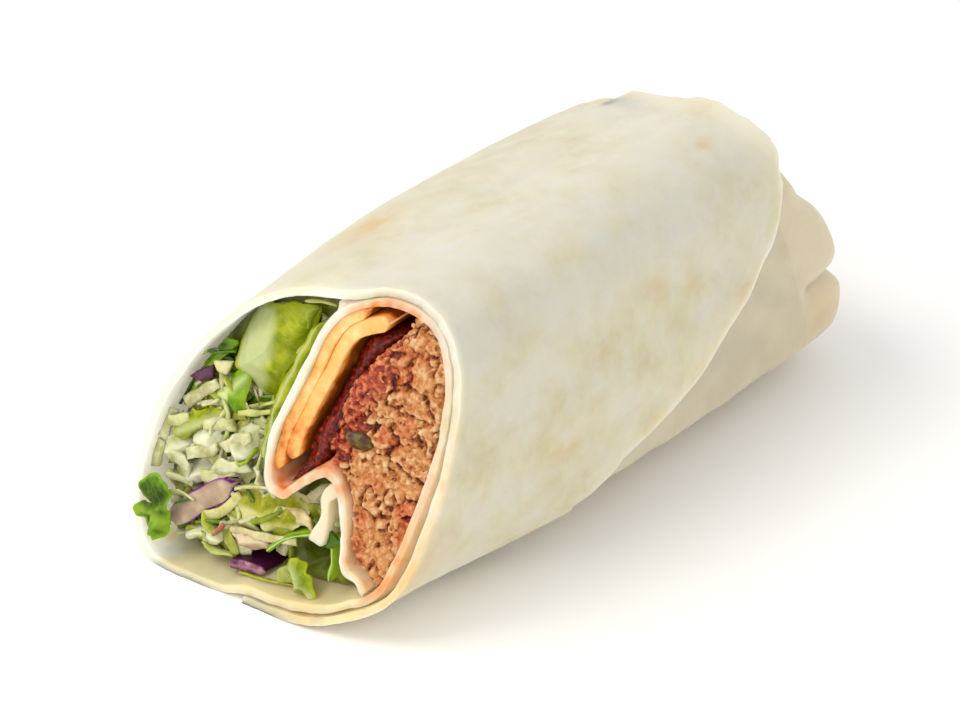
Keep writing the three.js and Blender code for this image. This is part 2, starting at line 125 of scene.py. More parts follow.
def setStudio(s):
    scene = bpy.context.scene
    scene.view_settings.view_transform = "Standard"
    world = bpy.data.worlds.new("studio")
    world.use_nodes = True
    colour, strength = s["world"]
    world.node_tree.nodes["Background"].inputs["Color"].default_value = linearColour(colour)
    world.node_tree.nodes["Background"].inputs["Strength"].default_value = strength
    scene.world = world
    for name in ("key", "front", "fill"):
        light = bpy.data.lights.new(name, "AREA")
        light.size, light.energy = s[name]["size"], s[name]["watts"]
        light.color = linearColour(s[name]["colour"])[:3]
        made = bpy.data.objects.new(name, light)
        scene.collection.objects.link(made)
        at = np.array(s[name]["at"])
        back = at / np.linalg.norm(at)
        right = np.cross((0, 0, 1), back)
        right /= np.linalg.norm(right)
        turn = Matrix((right, np.cross(back, right), back)).transposed().to_4x4()
        made.matrix_world = Matrix.Translation(at) @ turn
    half, flat, bend, rise, steps = s["sweep"].values()
    turns = [math.pi / 2 * i / steps for i in range(steps + 1)]
    profile = [(-half, 0.0)]
    profile += [(flat + bend * math.sin(turn), bend * (1 - math.cos(turn))) for turn in turns]
    profile += [(flat + bend, rise)]
    points = [(x, y, z) for y, z in profile for x in (-half, half)]
    faces = [(2 * i, 2 * i + 1, 2 * i + 3, 2 * i + 2) for i in range(len(profile) - 1)]
    mesh = bpy.data.meshes.new("paperSweep")
    mesh.from_pydata(points, [], faces)
    mesh.shade_smooth()
    floor = bpy.data.objects.new("paperSweep", mesh)
    scene.collection.objects.link(floor)
    # Matt white studio paper: rolled smooth, so it only shows a soft contact shadow
    material, tree, shader, place = newMaterial("matt white studio paper", {"Roughness": 0.9})
    grain = addNode(tree, "TexNoise", {}, {"Vector": place, "Scale": 1 / (16.7 * mm), "Detail": 3.0})
    tone = addNode(tree, "Mix", {"data_type": "RGBA"},
                   {0: grain.outputs["Fac"], 6: s["floor"], 7: s["floorFlecks"]})
    tree.links.new(tone.outputs[2], shader.inputs["Base Color"])
    mesh.materials.append(material)


setStudio(studio)
print("studio set")


roll = {  # mm; sections are drawn as x, z on the cut face
    "cutLean": 0.4, "cutTurn": 0.05, "packedLength": 134.0, "packedLean": 0.35,
    "swellWide": 0.05, "swellHigh": 0.02, "lowerBulge": 6.0, "leftBulge": 1.8,
    "tablePress": 0.2, "cutLift": 1.0, "settling": 1.9, "height": 63.0, "middle": (-2.0, 30.0),
    "fillingEnd": 0.95, "dividerEnd": 0.98,  # shares of the length
    "sheet": 1.5, "clearance": 0.35,
}
innerTurn = [
    (21.2, 10.2), (18.8, 11.6), (15.5, 13), (13.9, 17), (12.4, 21.5), (10, 26),
    (6.2, 28), (2.2, 25.4), (-2, 21.6), (-5, 22), (-6.9, 26.5), (-7, 32),
    (-5.2, 38.5), (-3.2, 45.5), (-1.8, 51), (1, 55.6), (5, 58.4), (10, 60.4),
    (15, 61), (20, 60.2), (24, 57.6), (27, 53), (28.6, 47), (29.2, 41),
    (28.9, 34), (27.6, 25), (25.9, 17), (24.2, 11.8), (21.8, 8.9), (18.3, 6.9),
    (13.5, 4.3), (8.5, 3.1), (3, 2.7), (-4.5, 2.65), (-10, 1.3), (-15, 0.75), (-20, 0.75), (-27.6, 1.3),
    (-31.6, 4.4), (-34, 9.4), (-35.1, 17), (-34.8, 25), (-32, 33.8), (-26.6, 43.2),
    (-18.2, 51.8), (-8.4, 57),
]
outerTurn = [  # with how far along the roll its round rim reaches
    (0, 58.9, 121.5), (5, 60.4, 122), (10, 62.2, 121.3), (15, 62.8, 120.3), (20.5, 62, 120.3),
    (25, 59.2, 121), (28.6, 54.2, 120), (30.5, 47.8, 118), (31.4, 41, 114), (31.6, 34, 105),
    (30.6, 25, 88), (29.2, 17, 65), (27, 11.2, 57), (23.8, 7.7, 50), (18.3, 4.4, 36),
    (13, 1.9, 24), (8.4, 0.75, 16), (2.5, 0.75, 10), (-5, 0.75, 6),
]
foldTop, rightFoot, topLeft = 15, 28, len(innerTurn) - 1


def smoothstep(value, low, high):
    t = np.clip((value - low) / (high - low), 0, 1)
    return t * t * (3 - 2 * t)


def placeInRoll(x, z, along):  # mm on the cut face and share of the length, to mm in the roll
    r = roll
    cut = r["cutTurn"] * x + r["cutLean"] * z
    y = cut + (r["packedLength"] - r["packedLean"] * z - cut) * along
    inRoll = np.clip(along, 0, 1)
    grown = smoothstep(along, 0, 0.5)
    lowRight = smoothstep(x, 0, 26) * (1 - smoothstep(z, 5, 45))
    highLeft = (1 - smoothstep(x, -25, 10)) * smoothstep(z, 15, 50)
    wobble = 0.5 * np.sin(y / 13 + z / 17) * inRoll
    aside = r["lowerBulge"] * lowRight * smoothstep(along, 0, 0.6) + wobble
    out = r["leftBulge"] * highLeft * np.sin(math.pi * inRoll)
    lifted = r["cutLift"] * smoothstep(x, 0, 10) * (1 - smoothstep(along, 0, 0.25))
    doubled = smoothstep(x, -10, -4) * (1 - smoothstep(x, 10, 24))
    settled = r["settling"] * doubled * smoothstep(along, 0.25, 0.43)
    low = 1 - smoothstep(z, 3, 20)
    up = z * (1 + r["swellHigh"] * grown) + out - r["tablePress"] + low * (lifted - settled)
    up = np.maximum(up, 0)
    return np.stack([x * (1 + r["swellWide"] * grown) + aside - out * 0.8, y, up], -1)


def alongAt(x, z, depth):  # the share of the length that a depth in mm behind the cut comes to
    r = roll
    return depth / (r["packedLength"] - r["packedLean"] * z - r["cutTurn"] * x - r["cutLean"] * z)


def spline(points, perSpan, closed=False, straight=False):  # line through points, in even steps
    p = np.array(points, float)
    if straight:
        step = np.linspace(0, 1, perSpan, endpoint=False)[None, :, None]
        return (p[:, None] + (np.roll(p, -1, 0) - p)[:, None] * step).reshape(-1, 2)
    if closed:
        p = np.vstack([p[-1], p, p[0], p[1]])
    else:
        p = np.vstack([2 * p[0] - p[1], p, 2 * p[-1] - p[-2]])
    p0, p1, p2, p3 = p[:-3], p[1:-2], p[2:-1], p[3:]
    gaps = (p1 - p0, p2 - p1, p3 - p2)
    d0, d1, d2 = [np.sqrt(np.linalg.norm(gap, axis=1))[:, None] + 1e-9 for gap in gaps]
    t1 = ((p1 - p0) / d0 - (p2 - p0) / (d0 + d1) + (p2 - p1) / d1) * d1
    t2 = ((p2 - p1) / d1 - (p3 - p1) / (d1 + d2) + (p3 - p2) / d2) * d1
    t = np.linspace(0, 1, perSpan, endpoint=False)[None, :, None]
    line = p1[:, None] + t1[:, None] * t + (3 * (p2 - p1) - 2 * t1 - t2)[:, None] * t ** 2
    line = (line + (2 * (p1 - p2) + t1 + t2)[:, None] * t ** 3).reshape(-1, p.shape[1])
    return line if closed else np.vstack([line, p2[-1:]])


def leftNormals(line):
    heading = np.gradient(line[:, :2], axis=0)
    heading /= np.linalg.norm(heading, axis=1)[:, None] + 1e-12
    return np.stack([-heading[:, 1], heading[:, 0]], -1)


hashSteps, hashMix = (374761393, 668265263, 974634533), 1274126177  # any large odd numbers do


def unevenness(points, size, seed, octaves=1):  # smooth noise from -1 to 1, features of that size in mm
    total, weight = np.zeros(points.shape[:-1]), 0.0
    for octave in range(octaves):
        q = points * (2 ** octave / size) + 31.7 * (seed + octave)
        cell = np.floor(q).astype(np.int64)
        f = q - cell
        f = f * f * (3 - 2 * f)
        value = np.zeros(points.shape[:-1])
        for corner in range(8):
            step = [(corner >> axis) & 1 for axis in range(3)]
            h = sum((cell[..., axis] + step[axis]) * hashSteps[axis] for axis in range(3))
            h = (h ^ (h >> 13)) * hashMix
            share = ((h ^ (h >> 16)) & 0xFFFF) / 32767.5 - 1
            for axis in range(3):
                share = share * (f[..., axis] if step[axis] else 1 - f[..., axis])
            value += share
        total += value / 2 ** octave
        weight += 1 / 2 ** octave
    return total / weight


def gridFaces(rows, columns, start=0, closed=False, flip=False):  # quads over rows of points
    r, c = np.meshgrid(np.arange(rows - 1), np.arange(columns if closed else columns - 1), indexing="ij")
    a, b = r * columns + c, r * columns + (c + 1) % columns
    corners = (a, a + columns, b + columns, b) if flip else (a, b, b + columns, a + columns)
    return np.stack(corners, -1).reshape(-1, 4) + start


def makePiece(name, points, faces, material, replaced=(), marks=None):  # points in mm in the roll
    mesh = bpy.data.meshes.new(name)
    mesh.from_pydata(((points - rollOrigin) * mm).tolist(), [], [list(map(int, f)) for f in faces])
    for mark, values in (marks or {}).items():
        values = np.asarray(values, np.float32)
        if values.ndim == 2:
            mesh.attributes.new(mark, "FLOAT_COLOR", "POINT").data.foreach_set("color", values.ravel())
        else:
            mesh.attributes.new(mark, "FLOAT", "POINT").data.foreach_set("value", values)
    made = bpy.data.objects.new(name, mesh)
    bpy.context.scene.collection.objects.link(made)
    tidy = bmesh.new()
    tidy.from_mesh(mesh)
    bmesh.ops.recalc_face_normals(tidy, faces=tidy.faces)
    tidy.to_mesh(mesh)
    tidy.free()
    mesh.shade_smooth()
    mesh.materials.append(material)
    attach(made, "root")
    if replaced:
        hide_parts(*replaced)
    return made


def ringProfile(half, front, back, corner, deep):  # offsets and depths round a strip's section
    rows = np.linspace(front + corner, back - corner, deep + 1)
    bend = np.linspace(-math.pi / 2, math.pi / 2, 7)[1:-1]
    offset = np.concatenate([np.full(deep + 1, -half), half * np.sin(bend),
                             np.full(deep + 1, half), -half * np.sin(bend)])
    depth = np.concatenate([rows[::-1], front + corner * (1 - np.cos(bend)),
                            rows, back - corner * (1 - np.cos(bend))])
    return offset, depth


def ribbon(line, thickness, front, back, corner, rowStep):  # strip along a drawn line, rounded all round
    line = np.asarray(line, float)[:, :2]
    normals = leftNormals(line)
    run = np.concatenate([[0], np.cumsum(np.linalg.norm(np.diff(line, axis=0), axis=1))])
    half = np.broadcast_to(np.asarray(thickness, float) / 2, len(line))
    front, back = np.broadcast_to(front, len(line)), np.broadcast_to(back, len(line))
    toEnd = np.clip(np.minimum(run, run[-1] - run) / (half.mean() + 1e-9), 0, 1)
    taper = np.sqrt(np.clip(1 - (1 - toEnd) ** 2, 0.03, 1))
    deep = max(int((back - front).mean() / rowStep), 1)
    rings = []
    for i in range(len(line)):
        near = front[i] + corner * (1 - taper[i])
        offset, depth = ringProfile(half[i] * taper[i], near, back[i], corner, deep)
        x = line[i, 0] + normals[i, 0] * offset
        z = line[i, 1] + normals[i, 1] * offset
        rings.append(placeInRoll(x, z, alongAt(x, z, depth)))
    return closedTube(np.array(rings))


def closedTube(rings):  # rings of equal length joined to a closed body
    count = rings.shape[1]
    faces = gridFaces(len(rings), count, closed=True)
    first, last = len(rings) * count, len(rings) * count + 1
    base = (len(rings) - 1) * count
    i = np.arange(count)
    after = (i + 1) % count
    fans = np.concatenate([np.stack([after, i, np.full(count, first)], -1),
                           np.stack([base + i, base + after, np.full(count, last)], -1)])
    points = np.vstack([rings.reshape(-1, 3), rings[0].mean(0), rings[-1].mean(0)])
    return points, faces.tolist() + fans.tolist()


def joined(bodies):  # several (points, faces) as one
    points, faces, start = [], [], 0
    for p, f in bodies:
        points.append(p)
        faces += [[v + start for v in face] for face in f]
        start += len(p)
    return np.vstack(points), faces


def insideBy(spots, loop):  # how far spots lie inside a closed section, negative outside
    a, b = loop, np.roll(loop, -1, 0)
    away = spots[:, None] - a[None]
    edge = (b - a)[None]
    t = np.clip((away * edge).sum(-1) / ((edge ** 2).sum(-1) + 1e-12), 0, 1)
    near = np.linalg.norm(away - t[..., None] * edge, axis=-1).min(1)
    over = (a[None, :, 1] > spots[:, 1, None]) != (b[None, :, 1] > spots[:, 1, None])
    cross = a[None, :, 0] + (spots[:, 1, None] - a[None, :, 1]) * edge[..., 0] / (edge[..., 1] + 1e-12)
    odd = (over & (spots[:, 0, None] < cross)).sum(1) % 2 == 1
    return np.where(odd, near, -near)


def offsetPart(first, last, offset, perSpan=4):  # a stretch of the inner turn, moved to its left
    line = spline(innerTurn, perSpan)[int(first * perSpan):int(last * perSpan) + 1]
    return line + leftNormals(line) * offset


# a closed body with this section: its front is bumpy, back is the share of the length that it ends at
def filledRoom(loop, front, bumps, size, seed, step=1.1, rows=12, back=roll["fillingEnd"]):
    low, high = loop.min(0), loop.max(0)
    aside, upward = np.meshgrid(np.arange(low[0], high[0], step), np.arange(low[1], high[1], step))
    grid = np.stack([aside, upward], -1).reshape(-1, 2)
    # the grid is shaken, so that its triangles don't line up
    grid = grid + 0.3 * step * np.stack([np.sin(grid[:, 1] * 7.1), np.sin(grid[:, 0] * 5.3)], -1)
    grid = grid[insideBy(grid, loop) > 0.6 * step]
    flat = np.vstack([loop, grid])
    count = len(loop)
    edges = [(i, (i + 1) % count) for i in range(count)]
    made = delaunay_2d_cdt([Vector(p) for p in flat], edges, [], 1, 1e-6)
    flat, faces = np.array([tuple(v) for v in made[0]]), [list(f) for f in made[2]]
    at = np.stack([flat[:, 0], np.zeros(len(flat)), flat[:, 1]], -1)
    edgeDrop = 1 - smoothstep(insideBy(flat, loop), 0, 2.0)
    depth = front(flat) if callable(front) else front
    depth = depth + bumps * unevenness(at, size, seed, 3) + 0.8 * edgeDrop
    alongFront = alongAt(flat[:, 0], flat[:, 1], depth)
    layers = [placeInRoll(flat[:, 0], flat[:, 1], alongFront)]
    for share in np.linspace(0, 1, rows)[1:]:
        x, z = (flat[:count] if share < 1 else flat).T
        start = alongFront[:len(x)]
        layers.append(placeInRoll(x, z, start + (back - start) * share))
    points = np.vstack(layers)
    starts = np.cumsum([0] + [len(layer) for layer in layers])
    allFaces = faces + [[v + starts[-2] for v in f[::-1]] for f in faces]
    for r in range(len(layers) - 1):
        for i in range(count):
            j = (i + 1) % count
            allFaces.append([starts[r] + j, starts[r] + i, starts[r + 1] + i, starts[r + 1] + j])
    return points, allFaces


def fuse(name, bodies, voxel, material, replaced):  # overlapping bodies as one skin
    points, faces = joined(bodies)
    made = makePiece(name, points, faces, material, replaced)
    skin = made.modifiers.new("fuse", "REMESH")
    skin.mode, skin.voxel_size, skin.use_smooth_shade = "VOXEL", voxel * mm, True
    graph = bpy.context.evaluated_depsgraph_get()
    mesh = bpy.data.meshes.new_from_object(made.evaluated_get(graph))
    made.modifiers.clear()
    made.data = mesh
    if not mesh.materials:
        mesh.materials.append(material)
    return made


def meshPoints(mesh):  # mesh points in mm in the roll
    flat = np.empty(len(mesh.vertices) * 3, np.float32)
    mesh.vertices.foreach_get("co", flat)
    return flat.reshape(-1, 3).astype(float) / mm + rollOrigin


def movePoints(mesh, points):  # and back again
    mesh.vertices.foreach_set("co", ((points - rollOrigin) * mm).astype(np.float32).ravel())
    mesh.update()


# moves the skin in and out by layers of noise and gives how deep in a crevice each point lies
def roughen(made, layers):
    mesh = made.data
    points = meshPoints(mesh)
    normals = np.empty(len(points) * 3, np.float32)
    mesh.vertices.foreach_get("normal", normals)
    normals = normals.reshape(-1, 3)
    edges = np.empty(len(mesh.edges) * 2, np.int32)
    mesh.edges.foreach_get("vertices", edges)
    a, b = edges.reshape(-1, 2).T
    links = np.bincount(edges, minlength=len(points))
    for depth, size, seed in layers:
        points += normals * depth * unevenness(points, size, seed, 2)[:, None]
    smooth = points
    starts, ends = np.concatenate([a, b]), np.concatenate([b, a])
    for step in range(12):  # every point moves to the middle of its neighbours
        total = [np.bincount(starts, smooth[ends, k], len(points)) for k in range(3)]
        smooth = np.stack(total, -1) / links[:, None]
    movePoints(mesh, points)
    return ((smooth - points) * normals).sum(1)


def outwards(loop):  # unit normals of a closed section, pointing out of it
    heading = np.roll(loop, -1, 0) - np.roll(loop, 1, 0)
    heading /= np.linalg.norm(heading, axis=1)[:, None] + 1e-12
    area = (loop[:, 0] * np.roll(loop[:, 1], -1) - np.roll(loop[:, 0], -1) * loop[:, 1]).sum()
    return np.stack([heading[:, 1], -heading[:, 0]], -1) * (1 if area > 0 else -1)


def addBody(made, points, faces):  # one more closed body in the same piece
    mesh = bpy.data.meshes.new("body")
    mesh.from_pydata(((points - rollOrigin) * mm).tolist(), [], [list(map(int, f)) for f in faces])
    both = bmesh.new()
    both.from_mesh(mesh)
    bmesh.ops.recalc_face_normals(both, faces=both.faces)
    for face in both.faces:
        face.smooth = True
    both.from_mesh(made.data)
    both.to_mesh(made.data)
    both.free()


def leafSheet(shape):  # a thin leaf that faces the cut: rings inside its outline, ruffled towards its rim
    outline = shape["outline"]
    loop = spline(outline, 60 // len(outline) + 3, closed=True, straight="facets" in shape)
    middle = loop.mean(0)
    seed = shape["seed"]
    around = np.arctan2(loop[:, 1] - middle[1], loop[:, 0] - middle[0])
    spot = np.stack([loop[:, 0], np.zeros(len(loop)), loop[:, 1]], -1)
    loop = loop + outwards(loop) * (shape.get("ragged", 0.35) * unevenness(spot, 1.7, seed, 2))[:, None]
    shares = np.concatenate([[1, 0.985, 0.94], np.linspace(0.87, 0.08, 11)])
    root, tip = np.array(shape.get("rib", (outline[0], outline[len(outline) // 2])), float)
    axis = (tip - root) / np.linalg.norm(tip - root)
    draw = np.random.default_rng(seed)
    creases = shape.get("creases", 1.0 if "facets" in shape else 0.0)
    planes = draw.uniform(-1, 1, (7, 3)) * (0.6, 0.6, 0.5) * creases  # it creases where they meet
    px, pz, wide, high = shape.get("pale", (0.0, 0.0, 1e-3, 1e-3))
    sides, marks = [], {"along": [], "across": [], "rim": [], "pale": []}
    for side in (-1, 1):
        layers = []
        for share in shares:
            flat = middle + (loop - middle) * share
            spot = np.stack([flat[:, 0], np.full(len(flat), 3.0 * seed), flat[:, 1]], -1)
            ripple = shape["ripple"] * share ** 2 * np.sin(shape["waves"] * around + 1.3 * seed)
            folds = shape.get("folds", 0.9) * unevenness(spot, shape.get("foldSize", 4.5), seed + 1, 2)
            fine = 0.22 * unevenness(spot, 1.3, seed + 2)
            depth = shape["depth"] - shape["bulge"] * (1 - share ** 2) + ripple + folds + fine
            depth = depth + ((flat - middle) @ planes[:, :2].T + planes[:, 2]).max(1)
            off = flat - root
            v = off @ np.array([-axis[1], axis[0]])
            ribHere = np.exp(-(v / shape.get("ribWide", 1.2)) ** 2)
            thin = (0.3 + 0.7 * (1 - share ** 10)) * (0.75 + 0.5 * ribHere)
            layers.append((flat, depth + side * shape["thickness"] / 2 * thin))
            marks["along"].append(off @ axis)
            marks["across"].append(v)
            marks["rim"].append(np.full(len(flat), share))
            away = ((flat[:, 0] - px) / wide) ** 2 + ((flat[:, 1] - pz) / high) ** 2
            away += 0.35 * unevenness(spot, 3.0, seed + 3, 2)
            marks["pale"].append(1 - smoothstep(away, 0.4, 1.4))
        sides.append(layers)
    rings = sides[0][::-1] + sides[1]  # from the centre of one face over the rim to the other's
    placed = [placeInRoll(f[:, 0], f[:, 1], alongAt(f[:, 0], f[:, 1], d)) for f, d in rings]
    points, faces = closedTube(np.array(placed))
    count = len(shares)
    for mark, values in marks.items():
        half = values[:count]
        ordered = np.concatenate(half[::-1] + half)
        marks[mark] = np.concatenate([ordered, [half[-1].mean()] * 2])
    return points, faces, marks


def stripPiece(shape):  # a strip of leaf, rib or onion seen on its cut edge, running back into the roll
    line = spline(shape["line"], 8)
    seed = shape["seed"]
    spot = np.stack([line[:, 0], np.zeros(len(line)), line[:, 1]], -1)
    sway = shape.get("wander", 0.3) * unevenness(spot, 3, seed, 2)
    line = line[:, :2] + leftNormals(line) * sway[:, None]
    thick = shape["thickness"] * (1 + shape.get("uneven", 0.2) * unevenness(spot, 2.5, seed + 1, 2))
    front = shape["depth"] + 0.6 * unevenness(spot, 3, seed + 2, 2)
    corner = min(0.45 * shape["thickness"], 0.8)
    points, faces = ribbon(line, thick, front, shape["depth"] + shape["length"], corner, 2.0)
    points = points + 0.15 * unevenness(points, 1.5, seed + 3, 2)[:, None]
    ring = (len(points) - 2) // len(line)
    run = np.repeat(np.arange(len(line)) * 1.0, ring)
    deep = (ring - 12) // 2  # as in ribbon: the two bends and their ends are 12 points
    offset = np.tile(ringProfile(1.0, 0, shape["length"], corner, deep)[0], len(line))
    marks = {"along": np.append(run, [0, run[-1]]), "across": np.append(offset * 3, [0, 0]),
             "rim": np.append(np.abs(offset), [1, 1]), "pale": np.zeros(len(run) + 2)}
    return points, faces, marks


def shredBody(start, heading, wide, length, width, thick, curl, seed):  # a narrow cut strip of leaf
    steps = 9
    t = np.linspace(0, 1, steps)
    heading = heading / np.linalg.norm(heading)
    across = np.cross(heading, wide)
    across /= np.linalg.norm(across) + 1e-9
    facing = np.cross(across, heading)
    bend = curl * length * (t - t ** 2)
    centre = start + np.outer(t * length, heading) + np.outer(bend, facing)
    wander = 0.1 * length * unevenness(centre, 0.5 * length, seed)
    centre = centre + np.outer(wander, across)
    angle = np.linspace(0, 2 * math.pi, 10, endpoint=False)
    taper = 0.78 + 0.22 * np.sin(math.pi * np.clip(t, 0.06, 0.94)) ** 0.5
    chance = unevenness(np.array([[0.5 * seed, 3.1, 7.7], [0.5 * seed, 9.4, 1.3]]), 1.0, 3)
    swell = unevenness(np.outer(t * length, [1.0, 0, 0]), 2.4, seed + 9, 2)
    taper = taper * (1 + 0.5 * swell) * (1 + 0.5 * chance[1] * t)
    ends = np.sign(2 * t - 1) * np.abs(2 * t - 1) ** 2
    rounded = [np.sign(c) * np.abs(c) ** 0.6 for c in (np.cos(angle), np.sin(angle))]  # nearly square
    rings = []
    for i in range(steps):
        wave = 0.35 * width * unevenness(np.array([[t[i] * length, 0.0, 0.0]]), 3.0, seed + 5)[0]
        u = rounded[0] * width / 2 * taper[i]
        w = rounded[1] * thick / 2 + wave * (2 * u / width) ** 2
        skew = u * (0.9 * chance[0] * ends[i])  # cut off aslant
        rings.append(centre[i] + np.outer(u, across) + np.outer(w, facing) + np.outer(skew, heading))
    return closedTube(np.array(rings))


tortilla = {
    "perSpan": 8,  # columns between two points of the drawn line
    "rowPower": 1.7, "rows": 66,  # rows lie closer together towards the cut
    "rimJitter": 0.35, "waves": 0.35, "dimples": 0.12, "crinkles": 0.5, "wrinkles": 0.55,  # mm
    "wrinkleTurn": ((1, 0, 0), (0, 0.4, 0.5), (0, -0.3, 0.8)),  # wrinkles run aslant over the bare side
    "tear": {"at": 13.1, "wide": 0.2, "deep": 2.6},  # near the underside: points of the outer turn, mm
    "tuckDepth": 15.0, "tuckSlope": 10.0, "tuckBulge": 8.5,
    "creaseHeight": 22.0, "creaseDepth": 4.5, "creaseLean": 0.15,
    # angle, depth and width of the pleats that run to the middle of the tucked end
    "pleats": [(0.42, 0.9, 0.09), (0.9, 0.7, 0.07), (-0.75, 0.8, 0.08), (2.2, 1.2, 0.12),
               (-2.4, 1.0, 0.12)],
    # first and last point of the stained stretches of the line, and how much; 99 is past its end
    "stainInside": [(6, 9.8, 0.9), (4.5, 6, 0.6), (0, 4.5, 0.4), (15.6, 19, 1.3), (19, 24, 0.42),
                    (24, 28.4, 0.65)],
    "stainOutside": [(5, 9.5, 0.95), (16.4, 18.6, 0.6)],  # fades over 3 mm behind the cut
    "stainEdge": [(23, 28, 0.75), (topLeft + 9, topLeft + 15, 0.5)],  # fades over 1.2 mm
    # painted light: near-white cream laid on these stretches stands in for light shining through the thin
    # sheet, most of all on the inner left wall
    "paintedGlowInside": [(36.5, 46, 1), (7, 8, 0.9)], "paintedGlowOutside": [(0, 15, 0.6)],
    "creamInside": [(28.5, 37, 1), (topLeft + 13, 99, 0.8)], "creamEdge": [(topLeft + 12, 99, 0.9)],
    "flapStart": 0.012, "flapReach": 0.25,  # shares of the length
    "flapRows": 22,
    "flapMarks": {"stain": 0.15, "damp": 0.4, "cream": 0.2},  # on the flap under the arch
    # painted shade laid on the tucked end
    "endMarks": {"dusk": 0.6},  # on the tucked end
    "spotsToastedAndShaded": [  # x, y, z, radius and strength of the spots that the griddle left
        (-14.1, 47.6, 57.2, 5.0, 0.75), (21.4, 106.1, 63.1, 1.3, 0.8), (32.9, 77.5, 48.7, 1.6, 0.6),
        (33.4, 87.6, 44.8, 1.5, 0.6), (34.5, 103.9, 36.4, 1.8, 0.4), (33.9, 47.1, 26.0, 2.2, 0.35),
        (34.3, 50.6, 26.3, 1.2, 0.4), (31.7, 133.9, 17.5, 4.0, 0.35), (-14.0, 140.0, 30.0, 2.4, 0.5),
        (8.0, 142.0, 14.0, 1.6, 0.5), (-20.0, 60.0, 50.0, 1.8, 0.4), (-34.0, 80.0, 30.0, 2.6, 0.5),
        # the last two spots are not griddle marks: they darken the lower right rim, partly as painted shade
        # and partly as wetness, and the underside by the cut
        (-36.0, 48.0, 22.0, 1.5, 0.6), (-31.0, 104.0, 38.0, 2.0, 0.5), (27.0, 8.0, 17.0, 6.0, 0.6),
        (8.0, 1.5, 0.8, 9.0, 0.4)],
    "colours": {  # laid over the sheet one after the other
        # among them painted light (the glow through the sheet, the whiter top) and painted shade (behind the
        # flap and on the tucked end)
        "damp": "#fbf8e2", "cream": "#dccd9c", "chalk": "#dbd8c9", "cool": "#cbc7ae", "dusk": "#c8bb9f",
        "toast": "#cfa25c", "stain": "#e06a10"},
}
# the flap under the arch: a knob, then a stem that widens downwards, as x, z, thickness
flap = [(10.6, 24.6, 1.4), (9.3, 25.2, 2.2), (7.6, 24.3, 2.9), (6.7, 22.6, 2.2), (7.2, 20.6, 1.6),
        (7.4, 18.6, 2.2), (7.0, 16.2, 3.4), (6.7, 14.6, 3.6)]


def bandShell(line, normals, thickness, along, start):  # two faces, joined round their edges
    columns, rows = along.shape
    points = []
    for side in (1, -1):
        edge = np.ones(rows)
        edge[:3] = (0.72, 0.92, 0.98)  # the cut edge is rounded
        half = side * 0.5 * thickness[:, None] * edge[None, :]
        x = line[:, 0, None] + normals[:, 0, None] * half
        z = line[:, 1, None] + normals[:, 1, None] * half
        points.append(placeInRoll(x, z, along))
    points = np.stack(points)  # side, column, row
    count = columns * rows
    front = gridFaces(columns, rows, start)
    back = gridFaces(columns, rows, start + count, flip=True)
    index = np.arange(count).reshape(columns, rows) + start
    ring = np.concatenate([index[:, 0], index[-1, 1:], index[-2::-1, -1], index[0, -2:0:-1]])
    after = np.roll(ring, -1)
    edges = np.stack([after, ring, ring + count, after + count], -1)
    return points, np.vstack([front, back, edges])


def rimReach(line):  # where each column ends: into the tucked end, or on the round rim
    spans = np.arange(len(line)) / tortilla["perSpan"] - topLeft
    stops = np.array([outerTurn[0][2]] + [p[2] for p in outerTurn], float)
    rim = np.interp(spans, np.arange(len(stops)), stops)
    rim += 0.35 * np.sin(spans * 2.3) + 0.25 * np.sin(spans * 5.1 + 1)  # a rolled rim isn't even
    rim += 0.5 * unevenness(np.stack([spans * 5, spans * 0, spans * 0], -1), 2.2, 20, 2)
    tear = tortilla["tear"]
    rim -= tear["deep"] * np.exp(-((spans - tear["at"]) / tear["wide"]) ** 2)
    x, z = line[:, 0], line[:, 1]
    cut = roll["cutTurn"] * x + roll["cutLean"] * z
    reach = (rim - cut) / (roll["packedLength"] - roll["packedLean"] * z - cut)
    reach = np.where(spans <= 0, 1.0, reach)
    reach[:(foldTop + 1) * tortilla["perSpan"]] = roll["dividerEnd"]
    return reach


def tuckedEnd(rim, line):  # grows on from the sheet's last row and closes on its middle
    t = tortilla
    cx, cz = roll["middle"]
    whole = np.ones(len(line))
    uneven = rim - placeInRoll(line[:, 0], line[:, 1], whole)
    rings = []
    for share in np.concatenate([np.linspace(0.03, 0.6, 12), np.linspace(0.65, 0.985, 16)]):
        shrink = (1 - share ** 5) ** (1 / 3)
        x, z = cx + (line[:, 0] - cx) * shrink, cz + (line[:, 1] - cz) * shrink
        high = smoothstep(z, 25, roll["height"])
        bulge = np.sin(math.pi * z / roll["height"])
        depth = t["tuckDepth"] - t["tuckSlope"] * high + t["tuckBulge"] * bulge
        away = np.abs(z - t["creaseHeight"] - t["creaseLean"] * (x - 20))
        crease = t["creaseDepth"] * (0.7 * np.exp(-(away / 2.6) ** 2) + 0.5 * np.exp(-away / 0.9))
        crease *= smoothstep(x, -30, 10) * smoothstep(share, 0.0, 0.3)
        ring = placeInRoll(x - crease * 0.5, z, whole)
        ring[:, 1] += (depth - crease) * share
        rings.append(ring + uneven * (1 - smoothstep(share, 0, 0.4)))
    rings = np.array(rings)
    folds = unevenness(rings * (1, 0.5, 1), 17, 5, 2) + unevenness(rings, 6, 8, 2) * 0.6
    around = np.arctan2(rings[..., 2] - cz, rings[..., 0] - cx)
    pleats = np.zeros(around.shape)
    for angle, deep, wide in t["pleats"]:
        turned = np.angle(np.exp(1j * (around - angle - 0.08 * unevenness(rings, 9, 6))))
        pleats += deep * np.exp(-(turned / wide) ** 2)
    fade = smoothstep(np.linspace(0, 1, len(rings)), 0.0, 0.3)[:, None]
    rings[..., 0] -= 0.6 * pleats * fade * np.cos(around)
    rings[..., 2] -= 0.6 * pleats * fade * np.sin(around)
    rings[..., 1] += (folds - pleats) * fade
    rings[..., 2] = np.maximum(rings[..., 2], 0)
    return np.vstack([rings.reshape(-1, 3), rings[-1].mean(0)])


